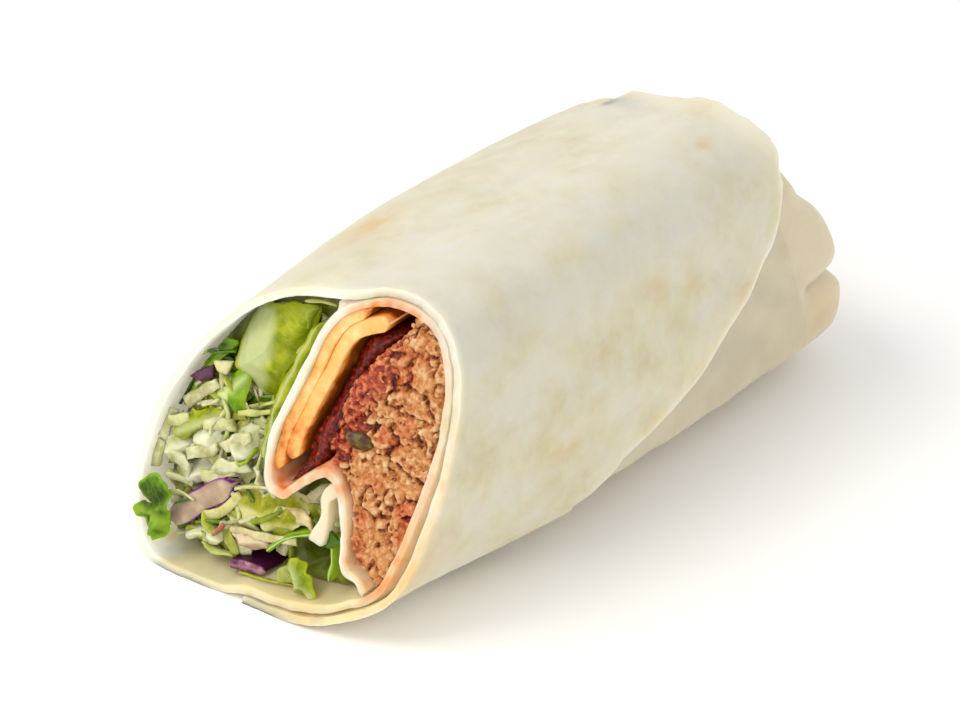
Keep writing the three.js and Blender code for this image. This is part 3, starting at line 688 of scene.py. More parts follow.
# joins the tucked end, count rings from point start on, to the sheet's last row
def closeEnd(faces, columns, rows, first, last, start, count):
    flat = columns * rows
    column, row = faces % flat // rows, faces % rows
    inRim = ((row == rows - 1) & (column >= first) & (column <= last)).all(1)
    outer = np.arange(first, last + 1) * rows + rows - 1
    inner = outer + flat
    wide = len(outer)
    index = np.vstack([outer, start + np.arange(count * wide).reshape(count, wide)])
    after = np.roll(index, -1, 1)
    skin = np.stack([index[:-1], after[:-1], after[1:], index[1:]], -1).reshape(-1, 4)
    middle = start + count * wide
    fan = np.stack([index[-1], after[-1], np.full(wide, middle)], -1)
    wall = [int(outer[-1]), int(outer[0]), int(inner[0]), int(inner[-1])]
    return faces[~inRim].tolist() + skin.tolist() + fan.tolist() + [inner.tolist(), wall]


def makeTortilla(material):
    t = tortilla
    per = t["perSpan"]
    line = spline(innerTurn + [p[:2] for p in outerTurn], per)
    normals = leftNormals(line)
    share = np.linspace(0, 1, t["rows"]) ** t["rowPower"]
    share = np.sort(np.concatenate([share, [0.0012, 0.004, 0.985, 0.996]]))  # more rows at both ends
    along = share[None, :] * rimReach(line)[:, None]
    column = np.arange(len(line)) / per
    section = np.stack([line[:, 0], column * 3.2, line[:, 1]], -1)
    lumps = 0.15 * unevenness(section, 5, 3) + 0.09 * unevenness(section, 1.6, 4)
    thickness = roll["sheet"] * (1 + lumps)
    shell, faces = bandShell(line, normals, thickness, along, 0)

    # the cut edge is a little ragged, and the faces have slow waves and small dimples
    ragged = t["rimJitter"] * (unevenness(section, 3.5, 6) + 0.5 * unevenness(section, 1.2, 7))
    shell[..., 1] += ragged[None, :, None] * np.exp(-share / 0.004)[None, None, :]
    waves = t["waves"] * unevenness(shell * (1, 0.5, 1), 16, 9, 2)
    dimples = t["dimples"] * unevenness(shell, 3.2, 12, 2)
    push = (waves + dimples) * smoothstep(share, 0.0, 0.02)[None, None, :]

    # the layers on the right side are pressed together a little way behind the cut
    first, last, turn = foldTop * per, (rightFoot + 7) * per, topLeft * per
    toOuter = np.linalg.norm(line[:, None, :2] - line[None, turn:, :2], axis=-1)
    apart = toOuter[first:last].min(1)
    gap = np.zeros(len(line))
    gap[first:last] = np.maximum(apart - roll["sheet"] - 0.1, 0) * (1 - smoothstep(apart, 3.0, 4.5))
    behind = share * roll["packedLength"]
    near = smoothstep(behind, 0.5, 2.6) * (1 - smoothstep(behind, 8, 18))
    push[0] += gap[:, None] * near[None, :]

    # wrinkles where the outer turn leaves the inner one bare
    over = turn + toOuter.argmin(1)
    bare = smoothstep(shell[0, ..., 1] - shell[0, over, -1, 1][:, None], 1.0, 7.0)
    bare[:(foldTop + 1) * per] = bare[(topLeft - 6) * per:] = 0
    push[0] += bare * t["wrinkles"] * unevenness(shell[0] @ np.array(t["wrinkleTurn"]), 5.5, 33, 2)

    # the foot and the arch are crinkled at the cut
    foot = (1 - smoothstep(column, 7, 10))[None, :, None] * np.exp(-behind / 10)[None, None, :]
    push = push + t["crinkles"] * foot * unevenness(shell, 2.2, 18, 2)[:1]
    shell[..., 0] += normals[None, :, None, 0] * push
    shell[..., 2] += normals[None, :, None, 1] * push
    shell[..., 2] = np.maximum(shell[..., 2], 0)

    depth = np.broadcast_to(behind[None, None, :], shell.shape[:3])
    inside = np.broadcast_to(np.array([0.0, 1.0])[:, None, None], shell.shape[:3])
    outside = 1 - inside
    uneven = unevenness(shell, 4, 15, 2)
    spans = column[None, :, None] + uneven

    def stretch(low, high):  # 1 between two points of the drawn line, with soft ends
        return smoothstep(spans, low - 0.7, low + 0.7) * (1 - smoothstep(spans, high - 0.7, high + 0.7))

    def laid(name):  # all stretches of one list
        return sum(amount * stretch(low, high) for low, high, amount in t[name])

    stain = inside * laid("stainInside") + outside * laid("stainOutside") * np.exp(-depth / 3)
    stain += laid("stainEdge") * np.exp(-depth / 1.2) * (0.4 + 0.6 * outside)
    stain *= 0.8 + 0.6 * uneven + 0.4 * unevenness(shell, 1.4, 16)
    stain *= 0.72 + 0.28 * smoothstep(depth, 0.2, 1.6)
    blotch = 0.5 * unevenness(shell, 6, 21, 3)
    marks = {
        "stain": stain,
        # painted light shining through the sheet, laid a little on the flap too
        "damp": inside * laid("paintedGlowInside") + outside * laid("paintedGlowOutside"),
        "cream": inside * laid("creamInside") + outside * laid("creamEdge") * np.exp(-depth / 2.5),
        # the outer turn is painted whiter on top in blotches, as painted light where the light falls; the left
        # side cooler; the bare inner turn darker to the back, as painted shade
        "chalk": outside * stretch(topLeft, 99) * smoothstep(shell[..., 2], 42, 60) * (0.45 + blotch),
        "cool": outside * stretch(36, topLeft) * (0.6 + 0.6 * blotch),
        "dusk": outside * (1 - stretch(topLeft - 1, 99)) * (0.9 + blotch) * smoothstep(shell[..., 1], 40, 90),
    }
    points = shell.reshape(-1, 3)

    bent = spline(flap, 5)
    back = t["flapStart"] + t["flapReach"] * np.linspace(0, 1, t["flapRows"]) ** 1.6
    back = np.tile(back, (len(bent), 1))
    hanging, hangingFaces = bandShell(bent[:, :2], leftNormals(bent), bent[:, 2], back, len(points))
    hanging = hanging.reshape(-1, 3)
    points = np.vstack([points, hanging])

    first, last = (foldTop + 1) * per, topLeft * per
    closed = slice(first, last + 1)
    rimLine = line[closed, :2] + normals[closed] * thickness[closed, None] / 2
    tuck = tuckedEnd(shell[0, closed, -1], rimLine)
    count = len(tuck) // len(rimLine)
    faces = closeEnd(faces, len(line), len(share), first, last, len(points), count)
    faces += hangingFaces.tolist()
    points = np.vstack([points, tuck])
    for mark, values in marks.items():
        onFlap = np.full(len(hanging), t["flapMarks"].get(mark, 0))
        onEnd = np.full(len(tuck), t["endMarks"].get(mark, 0))
        marks[mark] = np.concatenate([values.ravel(), onFlap, onEnd])
    marks["toast"] = np.zeros(len(points))
    for x, y, z, size, strength in t["spotsToastedAndShaded"]:
        away = np.linalg.norm((points - (x, y, z)) * (1, 0.6, 1), axis=1) / size
        marks["toast"] += strength * np.exp(-away ** 2) * (0.8 + 0.6 * unevenness(points, 1.8, 17, 2))
    return makePiece("flourTortilla", points, faces, material, ["tortilla"], marks)


# Flour tortilla, rolled thin and steamed soft: matt, and light goes into it, so that its folds look
# soft; cream in patches, pale brown where it touched the griddle and orange where sauce soaked in
def tortillaMaterial():
    material, tree, shader, place = newMaterial("steamed flour tortilla", {
        "Roughness": 0.55, "IOR": 1.45, "Subsurface Weight": 1.0, "Subsurface Radius": (1.0, 0.94, 0.8),
        "Subsurface Scale": 6 * mm, "Sheen Weight": 0.1, "Sheen Roughness": 0.6,
    })
    shader.inputs["Sheen Tint"].default_value = linearColour("#fff6e6")
    # big soft patches of tone in the sheet
    damp = addNode(tree, "TexNoise", {}, {
        "Vector": place, "Scale": 1 / (12.5 * mm), "Detail": 5.0, "Roughness": 0.6, "Distortion": 0.15})
    patch = addNode(tree, "ValToRGB", {"stops": [(0.38, "#dfd6bd"), (0.52, "#d9ceae"),
                                                 (0.66, "#cfc29a")]}, {"Fac": damp.outputs["Fac"]})
    mottle = addNode(tree, "TexNoise", {}, {
        "Vector": place, "Scale": 1 / (3.85 * mm), "Detail": 3.0, "Roughness": 0.6})
    flour = addNode(tree, "Mix", {"data_type": "RGBA", "blend_type": "SOFT_LIGHT"},
                    {0: 0.22, 6: patch.outputs["Color"], 7: mottle.outputs["Color"]})
    coloured = flour.outputs[2]
    # the marks laid here include painted light and painted shade as well as stains and toast
    for mark, colour in tortilla["colours"].items():
        share = addNode(tree, "Attribute", {"attribute_name": mark})
        laid = addNode(tree, "Mix", {"data_type": "RGBA"},
                       {0: share.outputs["Fac"], 6: coloured, 7: colour})
        coloured = laid.outputs[2]
    tree.links.new(coloured, shader.inputs["Base Color"])
    fine = addNode(tree, "TexNoise", {}, {
        "Vector": place, "Scale": 1 / (1.11 * mm), "Detail": 4.0, "Roughness": 0.6})
    pores = addNode(tree, "Bump", {}, {
        "Height": fine.outputs["Fac"], "Strength": 0.12, "Distance": 0.4 * mm})
    swell = addNode(tree, "Bump", {}, {
        "Height": mottle.outputs["Fac"], "Strength": 0.22, "Distance": 0.8 * mm,
        "Normal": pores.outputs["Normal"]})
    tree.links.new(swell.outputs["Normal"], shader.inputs["Normal"])
    return material


makeTortilla(tortillaMaterial())
print("tortilla rolled")

wallGap = roll["sheet"] / 2 + roll["clearance"]
saladRoom = np.vstack([offsetPart(1, foldTop, wallGap),
                       offsetPart(rightFoot + 2, topLeft + 1, -wallGap)[::-1]])
meatRoom = offsetPart(0, rightFoot, -wallGap)
meatEdge = spline([(16.4, 57.5), (13.4, 53.6), (10.2, 49.6), (7.3, 45.2), (5.9, 40), (5.4, 35),
                   (4.6, 31.6)], 4)
archEnd, hoodStart = 6 * 4 + 1, 18 * 4  # between them the meat has its own edge, not the wall
meatRoom = np.vstack([meatRoom[:archEnd], meatEdge[::-1], meatRoom[hoodStart:]])

cheese = {  # two slices, one on the other, along the divider
    "thick": 2.84, "recess": 1.1, "sag": 0.12, "toWall": 0.1, "between": 0.04, "corner": 0.24,  # mm
    "seed": 21,
    # name, layer, first and last point of the wall that it lies on, node
    "slices": [("cheeseSliceBack", 0, 9.6, 16.0, "cheese_slice_back"),
               ("cheeseSliceFront", 1, 10.0, 17.0, "cheese_slice_front")],
}


# Processed orange cheese, warm and just starting to melt: smooth and waxy, glossy where the cut is
# wet, so that it shows soft highlights; its deeper orange edges are painted shade where they turn into the
# hollow
def cheeseMaterial():
    material, tree, shader, place = newMaterial("warm sliced orange cheese", {
        "Roughness": 0.34, "IOR": 1.46, "Subsurface Weight": 0.35, "Subsurface Radius": (1.0, 0.45, 0.12),
        "Subsurface Scale": 1.2 * mm, "Coat Weight": 0.25, "Coat Roughness": 0.14,
    })
    cloud = addNode(tree, "TexNoise", {}, {
        "Vector": place, "Scale": 1 / (3.125 * mm), "Detail": 4.0, "Roughness": 0.6})
    shade = addNode(tree, "Attribute", {"attribute_name": "shade"})
    mixed = addNode(tree, "Math", {"operation": "ADD"},
                    {0: cloud.outputs["Fac"], 1: shade.outputs["Fac"]})
    tone = addNode(tree, "ValToRGB", {"stops": [(0.3, "#f8cc8c"), (0.44, "#f5b86c"), (0.62, "#f0aa58"),
                                                (0.78, "#cf7a20"), (0.95, "#93480a")]},
                   {"Fac": mixed.outputs["Value"]})
    tree.links.new(tone.outputs["Color"], shader.inputs["Base Color"])
    grain = addNode(tree, "TexNoise", {}, {
        "Vector": place, "Scale": 1 / (0.769 * mm), "Detail": 3.0, "Roughness": 0.55})
    wet = addNode(tree, "MapRange", {}, {
        "Value": cloud.outputs["Fac"], "From Min": 0.35, "From Max": 0.65,
        "To Min": 0.22, "To Max": 0.46})
    tree.links.new(wet.outputs["Result"], shader.inputs["Roughness"])
    fine = addNode(tree, "Bump", {}, {
        "Height": grain.outputs["Fac"], "Strength": 0.25, "Distance": 0.3 * mm})
    soft = addNode(tree, "Bump", {}, {
        "Height": cloud.outputs["Fac"], "Strength": 0.16, "Distance": 0.5 * mm,
        "Normal": fine.outputs["Normal"]})
    tree.links.new(soft.outputs["Normal"], shader.inputs["Normal"])
    return material


def makeCheese(material):
    c = cheese
    for name, layer, first, last, node in c["slices"]:
        offset = -(c["toWall"] + (layer + 0.5) * c["thick"] + layer * c["between"])
        line = offsetPart(first, last, offset, 10)
        spot = np.stack([line[:, 0], np.full(len(line), 9.0 * layer), line[:, 1]], -1)
        line = line + leftNormals(line) * c["sag"] * unevenness(spot, 9, c["seed"])[:, None]
        thick = c["thick"] * (1 + 0.03 * unevenness(spot, 5, c["seed"] + 1))
        front = c["recess"] + 0.3 * unevenness(spot, 6, c["seed"] + 2, 2) + 0.25 * layer
        back = roll["fillingEnd"] / alongAt(line[:, 0], line[:, 1], 1.0)
        points, faces = ribbon(line, thick, front, back, c["corner"], 2.4)
        points[:, 1] += 0.16 * unevenness(points, 3, c["seed"] + 3 + layer, 2)
        behind = points[:, 1] - roll["cutTurn"] * points[:, 0] - roll["cutLean"] * points[:, 2]
        high = points[:, 2]
        # painted shade: darker orange towards the back, where the slices' sides turn away into the hollow; the
        # lower end is darker where red sauce smeared it, and the top ends a little paler
        shade = 0.42 * smoothstep(behind, 1.3, 4.5) + 0.03 * layer  # darker towards the back
        shade += 0.16 * (1 - smoothstep(high, 31, 40)) - 0.05 * smoothstep(high, 46, 56)
        makePiece(name, points, faces, material, [node], {"shade": shade})


makeCheese(cheeseMaterial())
print("cheese laid")

beef = {
    "voxel": 0.3, "recess": 0.5, "seed": 31,  # lengths in mm
    "step": 1.15, "jitter": 0.9, "small": 0.35, "large": 1.05,  # crumb spacing and radii
    "oblong": (0.6, 1.0), "sunk": 1.0,  # how uneven the radii of a crumb are, and how deep it may lie
    "lumpSize": 1.1, "lumps": 0.38,  # size and height of the lumps, in radii of the crumb
    "slabFront": 1.7, "slabBumps": 1.3, "slabGrain": 3.6, "slabEnd": 0.085, "bodyFront": 8.0,
    "level": 1.4, "flatten": 0.42, "crackSize": 4.6, "crackDeep": 0.9, "crackShade": 0.1,
    "grain": [(0.3, 2.2, 51), (0.32, 1.0, 52), (0.26, 0.55, 53)],  # depth, size, seed
    "saucyTo": (8.5, 14.5), "saucyLean": 0.12, "saucyWander": 3.5,  # x where the sauce thins out
}


def blob(at, radii, turn, seed, size, uneven):  # a ball with lumps and dents
    ball = bmesh.new()
    bmesh.ops.create_icosphere(ball, subdivisions=2, radius=1.0)
    points = np.array([v.co for v in ball.verts])
    faces = [[v.index for v in f.verts] for f in ball.faces]
    ball.free()
    points = points * (1 + uneven * unevenness(points, size, seed, 2))[:, None] * radii
    points = points @ np.array(Euler(turn).to_matrix()).T
    return points + at, faces


def makeBeef(material):
    b = beef
    draw = random.Random(b["seed"])
    least, more = b["oblong"]
    crumbs = []
    low, high = meatRoom.min(0), meatRoom.max(0)
    z = low[1]
    while z < high[1]:
        x = low[0]
        while x < high[0]:
            at = np.array([x, z]) + [b["jitter"] * (draw.random() - 0.5) * 2 for k in range(2)]
            size = b["small"] + (b["large"] - b["small"]) * draw.random() ** 1.8
            radii = [size * (least + more * draw.random() ** 2) for k in range(3)]
            turn = [draw.random() * 6 for k in range(3)]
            space = insideBy(at[None], meatRoom)[0]
            deep = b["recess"] + 0.7 * max(radii) + b["sunk"] * draw.random()
            if space > 0.35:
                radii = [min(r, space + 0.2) for r in radii]
                spot = placeInRoll(at[0], at[1], alongAt(at[0], at[1], deep))
                crumbs.append(blob(spot, radii, turn, draw.randrange(9999), b["lumpSize"], b["lumps"]))
            x += b["step"]
        z += b["step"] * 0.9
    inset = meatRoom - outwards(meatRoom) * 0.15
    slab = filledRoom(inset, b["slabFront"], b["slabBumps"], b["slabGrain"], 41, 0.9, 3, b["slabEnd"])
    made = fuse("mincedBeef", crumbs + [slab], b["voxel"], material, ["taco_meat"])
    points = meshPoints(made.data)
    behind = points[:, 1] - roll["cutTurn"] * points[:, 0] - roll["cutLean"] * points[:, 2] - b["level"]
    near = 1 - smoothstep(behind, 2.0, 3.5)
    crack = 1 - smoothstep(np.abs(unevenness(points, b["crackSize"], 55, 2)), 0.02, 0.16)
    points[:, 1] += near * (b["crackDeep"] * crack - b["flatten"] * behind)
    movePoints(made.data, points)
    crevice = roughen(made, b["grain"]) + b["crackShade"] * crack * near
    points = meshPoints(made.data)
    saucy = points[:, 0] - b["saucyWander"] * unevenness(points, 5, 54, 2)
    saucy -= b["saucyLean"] * (points[:, 2] - 38)
    for mark, values in (("crevice", crevice), ("saucy", 1 - smoothstep(saucy, *b["saucyTo"]))):
        stored = made.data.attributes.new(mark, "FLOAT", "POINT")
        stored.data.foreach_set("value", values.astype(np.float32))
    hidden = meatRoom - outwards(meatRoom) * 0.9
    addBody(made, *filledRoom(hidden, b["bodyFront"], 0.0, 3, 42, 2.5, 14))


# Cooked minced beef, torn into crumbs: matt and grainy on top, with painted shade dark in its crevices and
# painted light on its bumps, and a film of oily red sauce that gives small wet highlights
def beefMaterial():
    material, tree, shader, place = newMaterial("cooked minced beef in oily sauce", {
        "Roughness": 0.5, "IOR": 1.45, "Subsurface Weight": 0.15, "Subsurface Radius": (1.0, 0.35, 0.15),
        "Subsurface Scale": 1 * mm, "Specular IOR Level": 0.34, "Coat Roughness": 0.07,
    })
    crevice = addNode(tree, "Attribute", {"attribute_name": "crevice"})
    fibre = addNode(tree, "TexNoise", {}, {
        "Vector": place, "Scale": 1 / (1.11 * mm), "Detail": 5.0, "Roughness": 0.7, "Distortion": 0.8})
    patch = addNode(tree, "TexNoise", {}, {"Vector": place, "Scale": 1 / (7.69 * mm), "Detail": 2.0})
    # painted shade and light: the tone darkens the deeper a point lies in a crevice or crack, and lightens on
    # the crumbs' bumps
    lift = addNode(tree, "MapRange", {}, {
        "Value": crevice.outputs["Fac"], "From Min": -0.3, "From Max": 0.45,
        "To Min": -0.16, "To Max": 0.32})
    mixed = addNode(tree, "Math", {"operation": "SUBTRACT"},
                    {0: fibre.outputs["Fac"], 1: lift.outputs["Result"]})
    tone = addNode(tree, "ValToRGB", {"stops": [(0.08, "#441505"), (0.22, "#8c4418"), (0.36, "#bf783c"),
                                                (0.54, "#d69a5e"), (0.74, "#e8c294")]},
                   {"Fac": mixed.outputs["Value"]})
    redness = addNode(tree, "MapRange", {}, {
        "Value": patch.outputs["Fac"], "From Min": 0.5, "From Max": 0.68, "To Min": 0.0, "To Max": 0.6})
    stained = addNode(tree, "Mix", {"data_type": "RGBA", "blend_type": "MULTIPLY"},
                      {0: redness.outputs["Result"], 6: tone.outputs["Color"], 7: "#f0683a"})
    saucy = addNode(tree, "Attribute", {"attribute_name": "saucy"})
    soak = addNode(tree, "Math", {"operation": "MULTIPLY_ADD"},
                   {0: crevice.outputs["Fac"], 1: 0.9, 2: saucy.outputs["Fac"]})
    coated = addNode(tree, "MapRange", {}, {
        "Value": soak.outputs["Value"], "From Min": 0.2, "From Max": 0.85, "To Min": 0.0, "To Max": 0.92})
    gravy = addNode(tree, "ValToRGB", {"stops": [(0.12, "#3c0501"), (0.34, "#8c1c06"), (0.52, "#b83c12"),
                                                 (0.7, "#d6733a")]}, {"Fac": mixed.outputs["Value"]})
    drenched = addNode(tree, "Mix", {"data_type": "RGBA"},
                       {0: coated.outputs["Result"], 6: stained.outputs[2], 7: gravy.outputs["Color"]})
    tree.links.new(drenched.outputs[2], shader.inputs["Base Color"])
    dry = addNode(tree, "MapRange", {}, {
        "Value": fibre.outputs["Fac"], "From Min": 0.4, "From Max": 0.6, "To Min": 0.26, "To Max": 0.6})
    wet = addNode(tree, "Mix", {"data_type": "FLOAT"},
                  {0: coated.outputs["Result"], 2: dry.outputs["Result"], 3: 0.14})
    tree.links.new(wet.outputs[0], shader.inputs["Roughness"])
    film = addNode(tree, "MapRange", {}, {
        "Value": coated.outputs["Result"], "From Min": 0.2, "From Max": 0.9,
        "To Min": 0.08, "To Max": 0.32})
    tree.links.new(film.outputs["Result"], shader.inputs["Coat Weight"])
    grain = addNode(tree, "TexNoise", {}, {
        "Vector": place, "Scale": 1 / (0.455 * mm), "Detail": 4.0, "Roughness": 0.65})
    fine = addNode(tree, "Bump", {}, {
        "Height": grain.outputs["Fac"], "Strength": 0.5, "Distance": 0.4 * mm})
    coarse = addNode(tree, "Bump", {}, {
        "Height": fibre.outputs["Fac"], "Strength": 0.8, "Distance": 0.9 * mm,
        "Normal": fine.outputs["Normal"]})
    tree.links.new(coarse.outputs["Normal"], shader.inputs["Normal"])
    return material


makeBeef(beefMaterial())
print("minced beef packed in")

sauce = {
    "near": 2.2, "deep": 4.2, "bumps": 1.3, "size": 2.0, "step": 0.55, "seed": 61,
    "cheeseSide": (10, 15), "archSide": (6.5, 8),  # points of the line that it lies along
}


# Thick red sauce: dark and wet, with specks of spice, so the hollow glints
def sauceMaterial():
    material, tree, shader, place = newMaterial("thick wet red sauce", {
        "Roughness": 0.14, "IOR": 1.4, "Subsurface Weight": 0.25, "Subsurface Radius": (1.0, 0.15, 0.05),
        "Subsurface Scale": 1.2 * mm, "Specular IOR Level": 0.3, "Coat Weight": 0.2, "Coat Roughness": 0.05,
    })
    speck = addNode(tree, "TexNoise", {}, {
        "Vector": place, "Scale": 1 / (0.909 * mm), "Detail": 4.0, "Roughness": 0.7})
    tone = addNode(tree, "ValToRGB", {"stops": [(0.35, "#300501"), (0.5, "#620f05"), (0.6, "#8c200a"),
                                                (0.7, "#b8501c")]}, {"Fac": speck.outputs["Fac"]})
    tree.links.new(tone.outputs["Color"], shader.inputs["Base Color"])
    grain = addNode(tree, "Bump", {}, {
        "Height": speck.outputs["Fac"], "Strength": 0.6, "Distance": 0.7 * mm})
    tree.links.new(grain.outputs["Normal"], shader.inputs["Normal"])
    return material


def makeSauce(material):
    cheeseFace = -(wallGap + 2 * cheese["thick"] + 0.25)
    edge = meatEdge + (-roll["clearance"], roll["clearance"] / 2)
    s = sauce
    loop = np.vstack([offsetPart(*s["cheeseSide"], cheeseFace), edge[4:],
                      offsetPart(*s["archSide"], -wallGap)])

    def front(flat):
        return s["near"] + (s["deep"] - s["near"]) * smoothstep(flat[:, 1], 28, 40)

    points, faces = filledRoom(loop, front, s["bumps"], s["size"], s["seed"], s["step"])
    makePiece("redSauce", points, faces, material, ["red_sauce"])


makeSauce(sauceMaterial())
print("sauce poured")

pepper = {
    "at": (11.6, 35.0), "depth": 1.5, "radii": (3.0, 1.7, 2.5), "turn": (0.3, 0.2, 0.5),
    "lumpSize": 0.5, "lumps": 0.62, "seed": 71,  # size and height of its lumps, in its radii
}


# Green pepper cooked in the sauce: olive skin, soft and wet, red in its dips and pale on its bumps
def pepperMaterial():
    material, tree, shader, place = newMaterial("cooked green pepper skin", {
        "Roughness": 0.3, "IOR": 1.42, "Subsurface Weight": 0.3, "Subsurface Radius": (0.7, 1.0, 0.2),
        "Subsurface Scale": 1 * mm, "Coat Weight": 0.15, "Coat Roughness": 0.1,
    })
    blotch = addNode(tree, "TexNoise", {}, {
        "Vector": place, "Scale": 1 / (3.03 * mm), "Detail": 4.0, "Roughness": 0.6})
    tone = addNode(tree, "ValToRGB", {"stops": [(0.4, "#4a1004"), (0.48, "#4c3008"), (0.56, "#5e5414"),
                                                (0.65, "#8a8234"), (0.75, "#c9a968")]},
                   {"Fac": blotch.outputs["Fac"]})
    tree.links.new(tone.outputs["Color"], shader.inputs["Base Color"])
    skin = addNode(tree, "Bump", {}, {
        "Height": blotch.outputs["Fac"], "Strength": 1.0, "Distance": 1.2 * mm})
    tree.links.new(skin.outputs["Normal"], shader.inputs["Normal"])
    return material


def makePepper(material):
    p = pepper
    x, z = p["at"]
    spot = placeInRoll(x, z, alongAt(x, z, p["depth"]))
    points, faces = blob(spot, p["radii"], p["turn"], p["seed"], p["lumpSize"], p["lumps"])
    made = makePiece("pepperPiece", points, faces, material, ["pepper_piece"])
    finer = made.modifiers.new("finer", "SUBSURF")
    finer.levels = finer.render_levels = 1


makePepper(pepperMaterial())
print("pepper set in the sauce")

